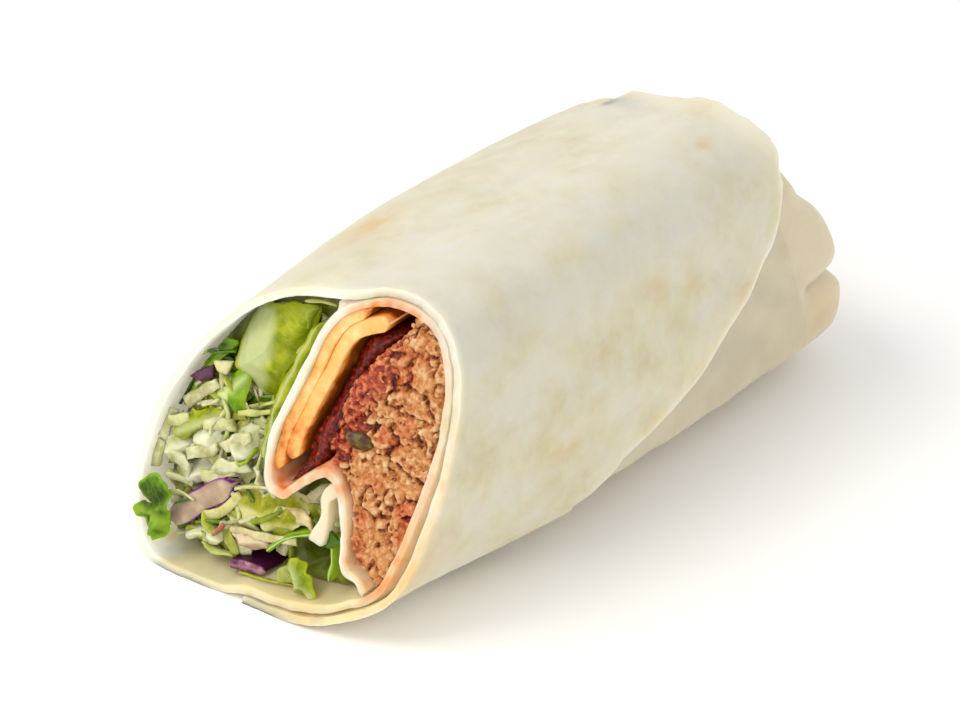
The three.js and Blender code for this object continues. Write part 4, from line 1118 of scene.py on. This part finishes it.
# Drawn on the cut face: an outline is a leaf that faces the cut, a line shows its cut edge. "pale" is
# the middle and half sizes of a white patch, "waves" how often the rim ripples
saladPieces = {
    "romaineLeafLeft": {
        "outline": [(-33.2, 14.2), (-29, 17.8), (-27, 16.2), (-25.6, 11.7), (-24.4, 8), (-27, 5.8),
                    (-31.3, 8.2), (-33.3, 9.6), (-30.4, 11.6), (-31.6, 13.4)],
        "rib": ((-33, 9.8), (-25.5, 9.5)), "ribWide": 0.4, "ragged": 0.7, "folds": 1.5, "foldSize": 2.6,
        "depth": -1.2, "bulge": 0.8, "ripple": 0.7, "waves": 5, "thickness": 0.8, "kind": "romaine",
        "node": "romaine_leaf_left"},
    "redOnionStripLarge": {
        "line": [(-27.4, 7.4), (-22.4, 12.2), (-15.6, 17.4)],
        "depth": 2.2, "length": 14, "thickness": 4.6, "uneven": 0.12,
        "kind": "redOnion", "node": "red_onion_strip_large"},
    "lettuceStripDivider": {
        "line": [(-4.6, 51), (-6.2, 45), (-8, 39), (-9.1, 34), (-9.2, 29.5), (-8.8, 25)],
        "depth": 1.4, "length": 30, "thickness": 2.0, "uneven": 0.5, "wander": 0.5,
        "kind": "lettuceGreen", "node": "lettuce_strip_divider"},
    "lettuceLeafCurled": {
        "outline": [(-22.4, 42), (-21.6, 47.4), (-17, 50), (-11.7, 51.8), (-7, 52), (-7.6, 47),
                    (-9.8, 41.5), (-11.6, 36), (-14.3, 31.8), (-18.3, 33), (-21.4, 37.4)],
        "rib": ((-16, 32), (-19.5, 49)), "ribWide": 2.2, "pale": (-18.2, 42.0, 4.6, 9.5),
        "folds": 1.5, "foldSize": 5.0, "creases": 0.55,
        "depth": 4.4, "bulge": 2.0, "ripple": 1.0, "waves": 3, "thickness": 0.9, "kind": "lettuceGreen",
        "node": "lettuce_leaf_curled"},
    "romaineLeafUpper": {
        "outline": [(-32, 26.8), (-31.2, 31.5), (-28.8, 36.5), (-25, 41.6), (-22.9, 41), (-25, 37.5),
                    (-28, 33.2), (-30, 28.6)],
        "depth": 5, "bulge": 1, "ripple": 0.9, "waves": 7, "ragged": 0.9, "thickness": 0.8,
        "kind": "romaine", "node": "romaine_leaf_upper"},
    "romaineLeafWedge": {
        "outline": [(-25.2, 31.6), (-23, 35), (-18.9, 37), (-17.9, 33), (-17.7, 29.4), (-23, 30)],
        "rib": ((-24.6, 31), (-18.2, 36.4)), "ribWide": 0.5, "pale": (-22.8, 32.6, 1.6, 2.2),
        "depth": 5.2, "bulge": 1.6, "ripple": 0.5, "waves": 3, "thickness": 0.9, "kind": "greenLeaf",
        "node": "romaine_leaf_wedge"},
    "lettuceLeafMiddle": {
        "outline": [(-31.5, 22.6), (-29.6, 27), (-25, 28.6), (-20.4, 29), (-20.4, 27.4), (-25.5, 25),
                    (-29.5, 21.8)],
        "depth": 4, "bulge": 0.8, "ripple": 0.7, "waves": 4, "ragged": 0.7, "thickness": 0.8,
        "kind": "lettuceGreen", "node": "lettuce_leaf_middle"},
    "cabbagePieceMiddle": {
        "outline": [(-28.4, 21.6), (-28.2, 24), (-25.1, 25.4), (-20, 27.2), (-19.2, 22.8), (-25.5, 18.8)],
        "depth": 4.2, "bulge": 1.5, "ripple": 0.2, "waves": 3, "ragged": 0.25, "thickness": 2.2,
        "facets": True, "kind": "whiteCabbage", "node": "cabbage_piece_middle"},
    "cabbagePieceRight": {
        "outline": [(-19, 25.7), (-17.3, 28.6), (-13.6, 28.4), (-12.4, 23.4), (-15, 21.2), (-18.6, 21.6)],
        "depth": 3.6, "bulge": 1.5, "ripple": 0.2, "waves": 3, "ragged": 0.25, "thickness": 2.2,
        "facets": True, "kind": "whiteCabbage", "node": "cabbage_piece_right"},
    "cabbagePieceLeft": {
        "outline": [(-33.2, 18), (-33, 21), (-30.4, 22.6), (-28.2, 21), (-27.8, 17.6), (-31, 15.6)],
        "depth": 3.8, "bulge": 1, "ripple": 0.3, "waves": 3, "ragged": 0.25, "thickness": 1.8,
        "facets": True, "kind": "whiteCabbage", "node": "cabbage_piece_left"},
    "cabbagePieceLower": {
        "outline": [(-30, 13.4), (-29, 17), (-24.4, 19.4), (-20.4, 19.2), (-21.4, 16.6), (-26.4, 13)],
        "depth": 4.2, "bulge": 1, "ripple": 0.3, "waves": 3, "ragged": 0.25, "thickness": 1.9,
        "facets": True, "kind": "whiteCabbage", "node": "cabbage_piece_lower"},
    "lettuceLeafLower": {
        "outline": [(-16.6, 12.2), (-15, 15.4), (-9, 18.6), (-1, 19.4), (1.8, 17), (0.6, 14.2),
                    (-5, 12.2), (-12, 10.8)],
        "rib": ((-15, 10.9), (1, 14.4)), "ribWide": 0.9, "pale": (-9.5, 13, 6, 2),
        "folds": 1.9, "foldSize": 3.0, "ragged": 1.0, "creases": 0.3,
        "depth": 3.9, "bulge": 1.4, "ripple": 1.0, "waves": 4, "thickness": 0.9, "kind": "lettuce",
        "node": "lettuce_leaf_lower"},
    "redOnionPieceMiddle": {
        "outline": [(-16, 8.8), (-14.4, 10.4), (-10, 10.6), (-5.2, 10.2), (-4.2, 8.6), (-8, 6.8),
                    (-11.4, 7.4)],
        "depth": 3.2, "bulge": 1, "ripple": 0.3, "waves": 3, "thickness": 1.5, "facets": True,
        "kind": "onionPale", "node": "red_onion_piece_middle"},
    "romaineLeafHollow": {
        "line": [(-4.4, 8.8), (-1.6, 11.6), (2.2, 13.9), (6, 15), (9.6, 14), (10.8, 11), (11, 7.4)],
        "depth": 2.8, "length": 20, "thickness": 1.0, "uneven": 0.4, "kind": "greenLeaf",
        "node": "romaine_leaf_hollow"},
    "lettuceRibLower": {
        "outline": [(0.2, 7.0), (1.2, 9.4), (3.6, 9.6), (6.6, 7.8), (9.2, 4.6), (9.0, 3.2), (6.6, 3.4),
                    (3.2, 5.2)],
        "rib": ((0.8, 8.6), (8.8, 3.6)), "ribWide": 0.7, "folds": 1.4, "foldSize": 2.4, "ragged": 0.6,
        "depth": 3.2, "bulge": 1.2, "ripple": 0.7, "waves": 5, "thickness": 1.1, "kind": "lettuceGreen",
        "node": "lettuce_rib_lower"},
    "lettuceRibLeft": {
        "line": [(-24, 5.4), (-20.4, 6.9), (-15.4, 6.8)], "depth": 3, "length": 10, "thickness": 2.4,
        "uneven": 0.3, "kind": "whiteCabbage", "node": "lettuce_rib_left"},
    "redOnionPieceLower": {
        "line": [(-12.6, 3.4), (-9, 4.3), (-4.4, 4.1)], "depth": 3.4, "length": 9, "thickness": 1.8,
        "kind": "onionPurple", "node": "red_onion_piece_lower"},
}
# Each kind: its slot, colours from shade to light, of its ribs and of its rim, how clear its veins are
leafKinds = {
    "romaine": {
        "slot": "romaine", "name": "crisp dark romaine leaf",
        "colours": ("#2a4400", "#4a6c00", "#729600"),
        "rib": "#8cab2c", "veins": 0.22, "edge": "#6f9c16", "rough": 0.3},
    "greenLeaf": {
        "slot": "romaine", "name": "crisp bright green leaf",
        "colours": ("#3f6a04", "#668f06", "#92b322"),
        "rib": "#c3d08a", "veins": 0.1, "edge": "#8fae22", "rough": 0.26},
    "lettuce": {
        "slot": "lettuce", "name": "crisp iceberg lettuce leaf",
        "colours": ("#768006", "#98981c", "#b8b44c"),
        "rib": "#c6c07c", "veins": 0.08, "edge": "#d2d294", "rough": 0.28},
    "lettuceGreen": {
        "slot": "lettuce", "name": "crisp green lettuce leaf",
        "colours": ("#6a7d02", "#8c9806", "#a8ae20"),
        "rib": "#b4bc84", "veins": 0.16, "edge": "#9dab1c", "rough": 0.26},
    "whiteCabbage": {
        "slot": "white_cabbage", "name": "moist white cabbage",
        "colours": ("#a3a76a", "#c2c596", "#d8d9bc"),
        "rib": "#dcddc4", "veins": 0.1, "edge": "#d6d8b4", "rough": 0.24},
    "redOnion": {
        "slot": "red_onion", "name": "moist red onion with its skin",
        "colours": ("#98836b", "#ab957d", "#c0aa94"),
        "rib": "#ab957d", "veins": 0.0, "edge": "#82309a", "rough": 0.22},
    "onionPale": {
        "slot": "red_onion", "name": "moist pale onion",
        "colours": ("#b39070", "#cbb492", "#dccfb2"),
        "rib": "#d6c8aa", "veins": 0.0, "edge": "#b0685c", "rough": 0.22},
    "onionPurple": {
        "slot": "red_onion", "name": "moist purple onion",
        "colours": ("#4a1c38", "#8a5670", "#c8a0a8"),
        "rib": "#9a6a80", "veins": 0.0, "edge": "#3a0f2c", "rough": 0.2},
}


# Fresh cut leaf: thin and moist, light shines through it; pale ribs and fine veins stand out, and the
# wet skin gives narrow highlights
def leafMaterial(kind):
    dark, middle, light = kind["colours"]
    material, tree, shader, place = newMaterial(kind["name"], {
        "Roughness": kind["rough"], "IOR": 1.4, "Subsurface Weight": 0.4,
        "Subsurface Radius": (0.85, 1.0, 0.2), "Subsurface Scale": 1.8 * mm,
        "Specular IOR Level": 0.2, "Coat Weight": 0.06, "Coat Roughness": 0.12,
    })
    mottle = addNode(tree, "TexNoise", {}, {
        "Vector": place, "Scale": 1 / (4.35 * mm), "Detail": 4.0, "Roughness": 0.62})
    tone = addNode(tree, "ValToRGB", {"stops": [(0.34, dark), (0.5, middle), (0.66, light)]},
                   {"Fac": mottle.outputs["Fac"]})

    # veins run aslant from the rib to the rim, bent a little by the mottle
    along = addNode(tree, "Attribute", {"attribute_name": "along"})
    across = addNode(tree, "Attribute", {"attribute_name": "across"})
    away = addNode(tree, "Math", {"operation": "ABSOLUTE"}, {0: across.outputs["Fac"]})
    slant = addNode(tree, "Math", {"operation": "MULTIPLY_ADD"},
                    {0: away.outputs["Value"], 1: 0.9, 2: along.outputs["Fac"]})
    bent = addNode(tree, "Math", {"operation": "MULTIPLY_ADD"},
                   {0: mottle.outputs["Fac"], 1: 2.2, 2: slant.outputs["Value"]})
    turned = addNode(tree, "Math", {"operation": "MULTIPLY"}, {0: bent.outputs["Value"], 1: 3.1})
    wave = addNode(tree, "Math", {"operation": "SINE"}, {0: turned.outputs["Value"]})
    vein = addNode(tree, "MapRange", {}, {
        "Value": wave.outputs["Value"], "From Min": 0.8, "From Max": 1.0,
        "To Min": 0.0, "To Max": kind["veins"]})
    rib = addNode(tree, "MapRange", {}, {
        "Value": away.outputs["Value"], "From Min": 0.25, "From Max": 1.5,
        "To Min": 0.75, "To Max": 0.0})
    lines = addNode(tree, "Math", {"operation": "MAXIMUM"},
                    {0: vein.outputs["Result"], 1: rib.outputs["Result"]})
    whitened = addNode(tree, "Attribute", {"attribute_name": "pale"})
    pale = addNode(tree, "Math", {"operation": "MAXIMUM"},
                   {0: lines.outputs["Value"], 1: whitened.outputs["Fac"]})
    ribbed = addNode(tree, "Mix", {"data_type": "RGBA"},
                     {0: pale.outputs["Value"], 6: tone.outputs["Color"], 7: kind["rib"]})
    rim = addNode(tree, "Attribute", {"attribute_name": "rim"})
    edge = addNode(tree, "MapRange", {}, {
        "Value": rim.outputs["Fac"], "From Min": 0.84, "From Max": 0.97})
    edged = addNode(tree, "Mix", {"data_type": "RGBA"},
                    {0: edge.outputs["Result"], 6: ribbed.outputs[2], 7: kind["edge"]})
    tree.links.new(edged.outputs[2], shader.inputs["Base Color"])
    fine = addNode(tree, "TexNoise", {}, {
        "Vector": place, "Scale": 1 / (0.667 * mm), "Detail": 3.0, "Roughness": 0.6})
    cells = addNode(tree, "Bump", {}, {
        "Height": fine.outputs["Fac"], "Strength": 0.3, "Distance": 0.3 * mm})
    raised = addNode(tree, "Bump", {}, {
        "Height": pale.outputs["Value"], "Strength": 0.4, "Distance": 0.5 * mm,
        "Normal": cells.outputs["Normal"]})
    tree.links.new(raised.outputs["Normal"], shader.inputs["Normal"])
    return material


def makeSaladPieces():
    for kind in leafKinds.values():
        kind["material"] = leafMaterial(kind)
    for number, (name, shape) in enumerate(saladPieces.items()):
        shape["seed"] = 100 + 7 * number
        points, faces, marks = leafSheet(shape) if "outline" in shape else stripPiece(shape)
        kind = leafKinds[shape["kind"]]
        makePiece(name, points, faces, kind["material"], [shape["node"]], marks)


makeSaladPieces()
print("salad pieces laid")

salad = {
    # painted shade: the core behind the shreds is a darker olive, standing for the shaded depths of the heap
    "coreFront": 8.4, "coreShadeColour": "#8c9838", "seed": 81,
    "bodies": 330,  # the core, the placed shreds and as many others
    "length": (3.4, 6.0), "width": (2.0, 4.4), "thickness": (0.45, 0.8),  # least, and how much more
    "margin": (0.4, 0.45),  # from the tortilla, and with each mm of width
    "lean": 3.0,  # how far shreds differ in how much deeper their second end lies
    "chunk": 0.75,  # mm, a placed shred thicker than this shows its broad side at the cut
    "front": 4.2, "behind": 5.2,  # depth of the nearest shreds, and how much deeper the others lie
    "underLeaf": 3.5,  # and how much deeper behind the curled leaf
    "hollows": [(-7.5, 6.0, 4.2, 1.6, 7.0), (4.5, 9.0, 5.4, 4.2, 9.0)],  # x, z, half sizes and depth
    "colours": ("#e6e7d0", "#dcdeb8", "#e4e2cc", "#d3d7a0", "#c6ca7c", "#b9c05a", "#a3ae30", "#8ba41f",
                "#6a8c16", "#47700d", "#d9dcae", "#e6dfce", "#b7c04a", "#cdd39a"),
}
placedShreds = [  # x, z at both ends, depth, width, thickness, colour
    (-25.4, 36.6, -22.6, 36.9, 3.6, 3, 1.6, "#e2ddb4"), (-28.9, 33.2, -26.2, 35.6, 3.2, 2.6, 1.2, "#5a2350"),
    (-29.4, 32, -27, 34.4, 3.6, 1.4, 0.6, "#cdb6c4"), (-31, 28.6, -24.8, 33.6, 3.6, 3, 1, "#dfe0c0"),
    (-27.8, 38.6, -22.6, 39.6, 4.4, 3.4, 0.6, "#4f7f12"), (-29.6, 37.4, -26, 39, 4, 1.2, 0.5, "#c8d08a"),
    (-32.2, 27.4, -29.6, 33.6, 3.8, 1.2, 0.5, "#1f3f05"), (-17.6, 30.2, -11, 32.4, 3, 1.4, 0.9, "#d0d68e"),
    (-26.6, 29, -23.6, 30.8, 3.4, 1, 0.6, "#e0e3bc"), (-15.6, 29.6, -12, 31.4, 4.6, 2, 0.6, "#39600c"),
    (-14.8, 21.4, -12.4, 25, 3.2, 3, 0.7, "#a2b82c"), (-27.4, 18.6, -25.2, 19.4, 3, 1, 0.5, "#3a5f0d"),
    (-19.4, 10.8, -12.6, 15.8, 3, 2.6, 0.9, "#dfdca4"), (-16.2, 18.9, -13.4, 19.2, 2.6, 0.9, 0.5, "#5b4420"),
    (-26, 11.6, -23.6, 12.9, 1.6, 1.2, 0.5, "#46760f"), (-16.4, 8.4, -15, 10.4, 2.4, 1.6, 0.7, "#b56a62"),
    (-22.8, 7.8, -14.6, 10.6, 4.6, 4, 0.7, "#6f981c"), (-21.6, 9.2, -16.6, 9, 3.6, 1.6, 0.6, "#557c10"),
    (-4.4, 16, 4, 16.6, 3, 3, 1.2, "#e3d3b0"), (-13.4, 11.4, 1.4, 12.9, 2.6, 1.8, 0.8, "#e0dab2"),
    (-18.6, 5.2, -12.6, 4.6, 4, 2.6, 0.7, "#b9c67a"), (-9.6, 3, 3.4, 3.9, 3.4, 1, 0.5, "#b8bd4c"),
    (-0.6, 5.4, 2.6, 6.6, 3.4, 3, 1.4, "#b8c56c"), (-14.2, 17.6, -4.6, 19.8, 3, 2, 0.7, "#dfe0b4"),
    (-30.6, 15, -24.6, 15.2, 2.8, 1.6, 0.8, "#d9dcb6"), (-24.6, 8.6, -17, 12.4, 5, 3.6, 0.7, "#7da022"),
    (-34, 21, -33.4, 26.4, 3, 2.4, 0.8, "#dcdfb8"), (-33.6, 15.6, -33.8, 20.4, 2.6, 2.6, 0.8, "#d9dcb4"),
    (-10.4, 22.4, -9.8, 27.6, 2.6, 1.6, 0.6, "#c6cc98"), (-22.6, 47.6, -20, 50.2, 4.6, 2.4, 0.6, "#8c9e1c"),
    (-24.4, 26.4, -18, 28.2, 2.4, 3, 1.3, "#dcdfb6"), (-26.6, 20.6, -20.6, 23.2, 2.2, 2.2, 0.9, "#e4e6cc"),
    (-18.6, 23.8, -13.6, 27.4, 2.2, 2.4, 0.8, "#e2e4c6"), (-22.6, 17.4, -15.8, 20.2, 2.6, 2.6, 0.9, "#d9dcb0"),
    (-30.6, 19.4, -25.4, 17.4, 2.2, 2.4, 0.8, "#e2e5cc"), (-20.4, 20.2, -13, 21.6, 2.8, 3, 1, "#dfe2c0"),
    (-33, 24.4, -28.6, 25.6, 2.8, 2.6, 0.8, "#dde2b4"),
    (-8, 54.2, -2.6, 54.6, 3.4, 2.6, 0.6, "#c8cc8a"), (-6.8, 49.6, -5.6, 53.6, 2.6, 2.2, 0.6, "#94a61e"),
]


# Shredded salad: every shred has its own green to white, thin enough for light to shine through
def saladMaterial():
    material, tree, shader, place = newMaterial("shredded lettuce and cabbage", {
        "Roughness": 0.26, "IOR": 1.4, "Subsurface Weight": 0.45, "Subsurface Radius": (0.9, 1.0, 0.3),
        "Subsurface Scale": 2 * mm, "Specular IOR Level": 0.36, "Coat Weight": 0.14, "Coat Roughness": 0.1,
    })
    own = addNode(tree, "Attribute", {"attribute_name": "own"})
    mottle = addNode(tree, "TexNoise", {}, {
        "Vector": place, "Scale": 1 / (3.33 * mm), "Detail": 4.0, "Roughness": 0.6})
    shade = addNode(tree, "ValToRGB", {"stops": [(0.3, "#b4b07c"), (0.5, "#dedcc4"), (0.7, "#f6f6ec")]},
                    {"Fac": mottle.outputs["Fac"]})
    tone = addNode(tree, "Mix", {"data_type": "RGBA", "blend_type": "MULTIPLY"},
                   {0: 1.0, 6: own.outputs["Color"], 7: shade.outputs["Color"]})
    tree.links.new(tone.outputs[2], shader.inputs["Base Color"])
    fine = addNode(tree, "TexNoise", {}, {
        "Vector": place, "Scale": 1 / (0.769 * mm), "Detail": 3.0, "Roughness": 0.6})
    cells = addNode(tree, "Bump", {}, {
        "Height": fine.outputs["Fac"], "Strength": 0.35, "Distance": 0.4 * mm})
    tree.links.new(cells.outputs["Normal"], shader.inputs["Normal"])
    return material


def makeSalad(material):
    s = salad
    draw = random.Random(s["seed"])
    inset = saladRoom - outwards(saladRoom) * 0.1

    def front(flat):
        deep = np.full(len(flat), s["coreFront"])
        for x, z, wide, high, extra in s["hollows"]:
            away = ((flat[:, 0] - x) / wide) ** 2 + ((flat[:, 1] - z) / high) ** 2
            deep += extra * (1 - smoothstep(away, 0.5, 1.4))
        return deep

    core = filledRoom(inset, front, 1.2, 3.5, 82, 1.3)
    # the core takes the painted shade colour
    bodies, colours = [core], [np.tile(linearColour(s["coreShadeColour"]), (len(core[0]), 1))]

    def addShred(x, z, toX, toZ, depth, width, thick, colour, wide, lean):
        start = placeInRoll(x, z, alongAt(x, z, depth))
        end = placeInRoll(toX, toZ, alongAt(toX, toZ, depth + lean))
        length = np.linalg.norm(end - start)
        body = shredBody(start, end - start, wide, length, width, thick, 0.5 * (draw.random() - 0.5),
                         draw.randrange(9999))
        bodies.append(body)
        colours.append(np.tile(linearColour(colour), (len(body[0]), 1)))

    for x, z, toX, toZ, depth, width, thick, colour in placedShreds:
        facing = np.array([0.3 * (draw.random() - 0.5), 0.3, 1.0 if abs(toX - x) > abs(toZ - z) else 0.0])
        facing[0] += 0.0 if facing[2] else 1.0
        if thick > s["chunk"]:
            facing = np.array([0.5 * (draw.random() - 0.5) - 0.2, 1.0, -0.5 * draw.random()])
        addShred(x, z, toX, toZ, depth, width, thick, colour, facing, 0.6)
    low, high = saladRoom.min(0), saladRoom.max(0)
    curled = np.array(saladPieces["lettuceLeafCurled"]["outline"])
    (short, longer), (narrow, wider) = s["length"], s["width"]
    (thin, thicker), (clear, forWidth) = s["thickness"], s["margin"]
    while len(bodies) < s["bodies"]:
        at = low + (high - low) * [draw.random(), draw.random()]
        angle = draw.random() * 2 * math.pi
        length = short + longer * draw.random() ** 1.5
        toward = np.array([math.cos(angle), math.sin(angle)]) * length
        ends = np.array([at + toward * k for k in (0, 0.5, 1)])
        depth = s["front"] + s["behind"] * draw.random()
        depth += s["underLeaf"] * (insideBy(ends, curled).max() > -0.5)
        width = narrow + wider * draw.random() ** 1.2
        nearWall = insideBy(ends, saladRoom).min() < clear + forWidth * width
        if nearWall or front(ends).max() > s["coreFront"] + 1.5:
            continue
        wide = np.array([draw.random() - 0.5, -0.8 + 1.6 * draw.random(), draw.random() - 0.3])
        addShred(*at, *ends[2], depth, width, thin + thicker * draw.random(),
                 draw.choice(s["colours"]), wide, s["lean"] * (draw.random() - 0.4))
    points, faces = joined(bodies)
    marks = {"own": np.concatenate(colours)}
    makePiece("shreddedSalad", points, faces, material, ["salad_heap"], marks)


makeSalad(saladMaterial())
print("shredded salad heaped")
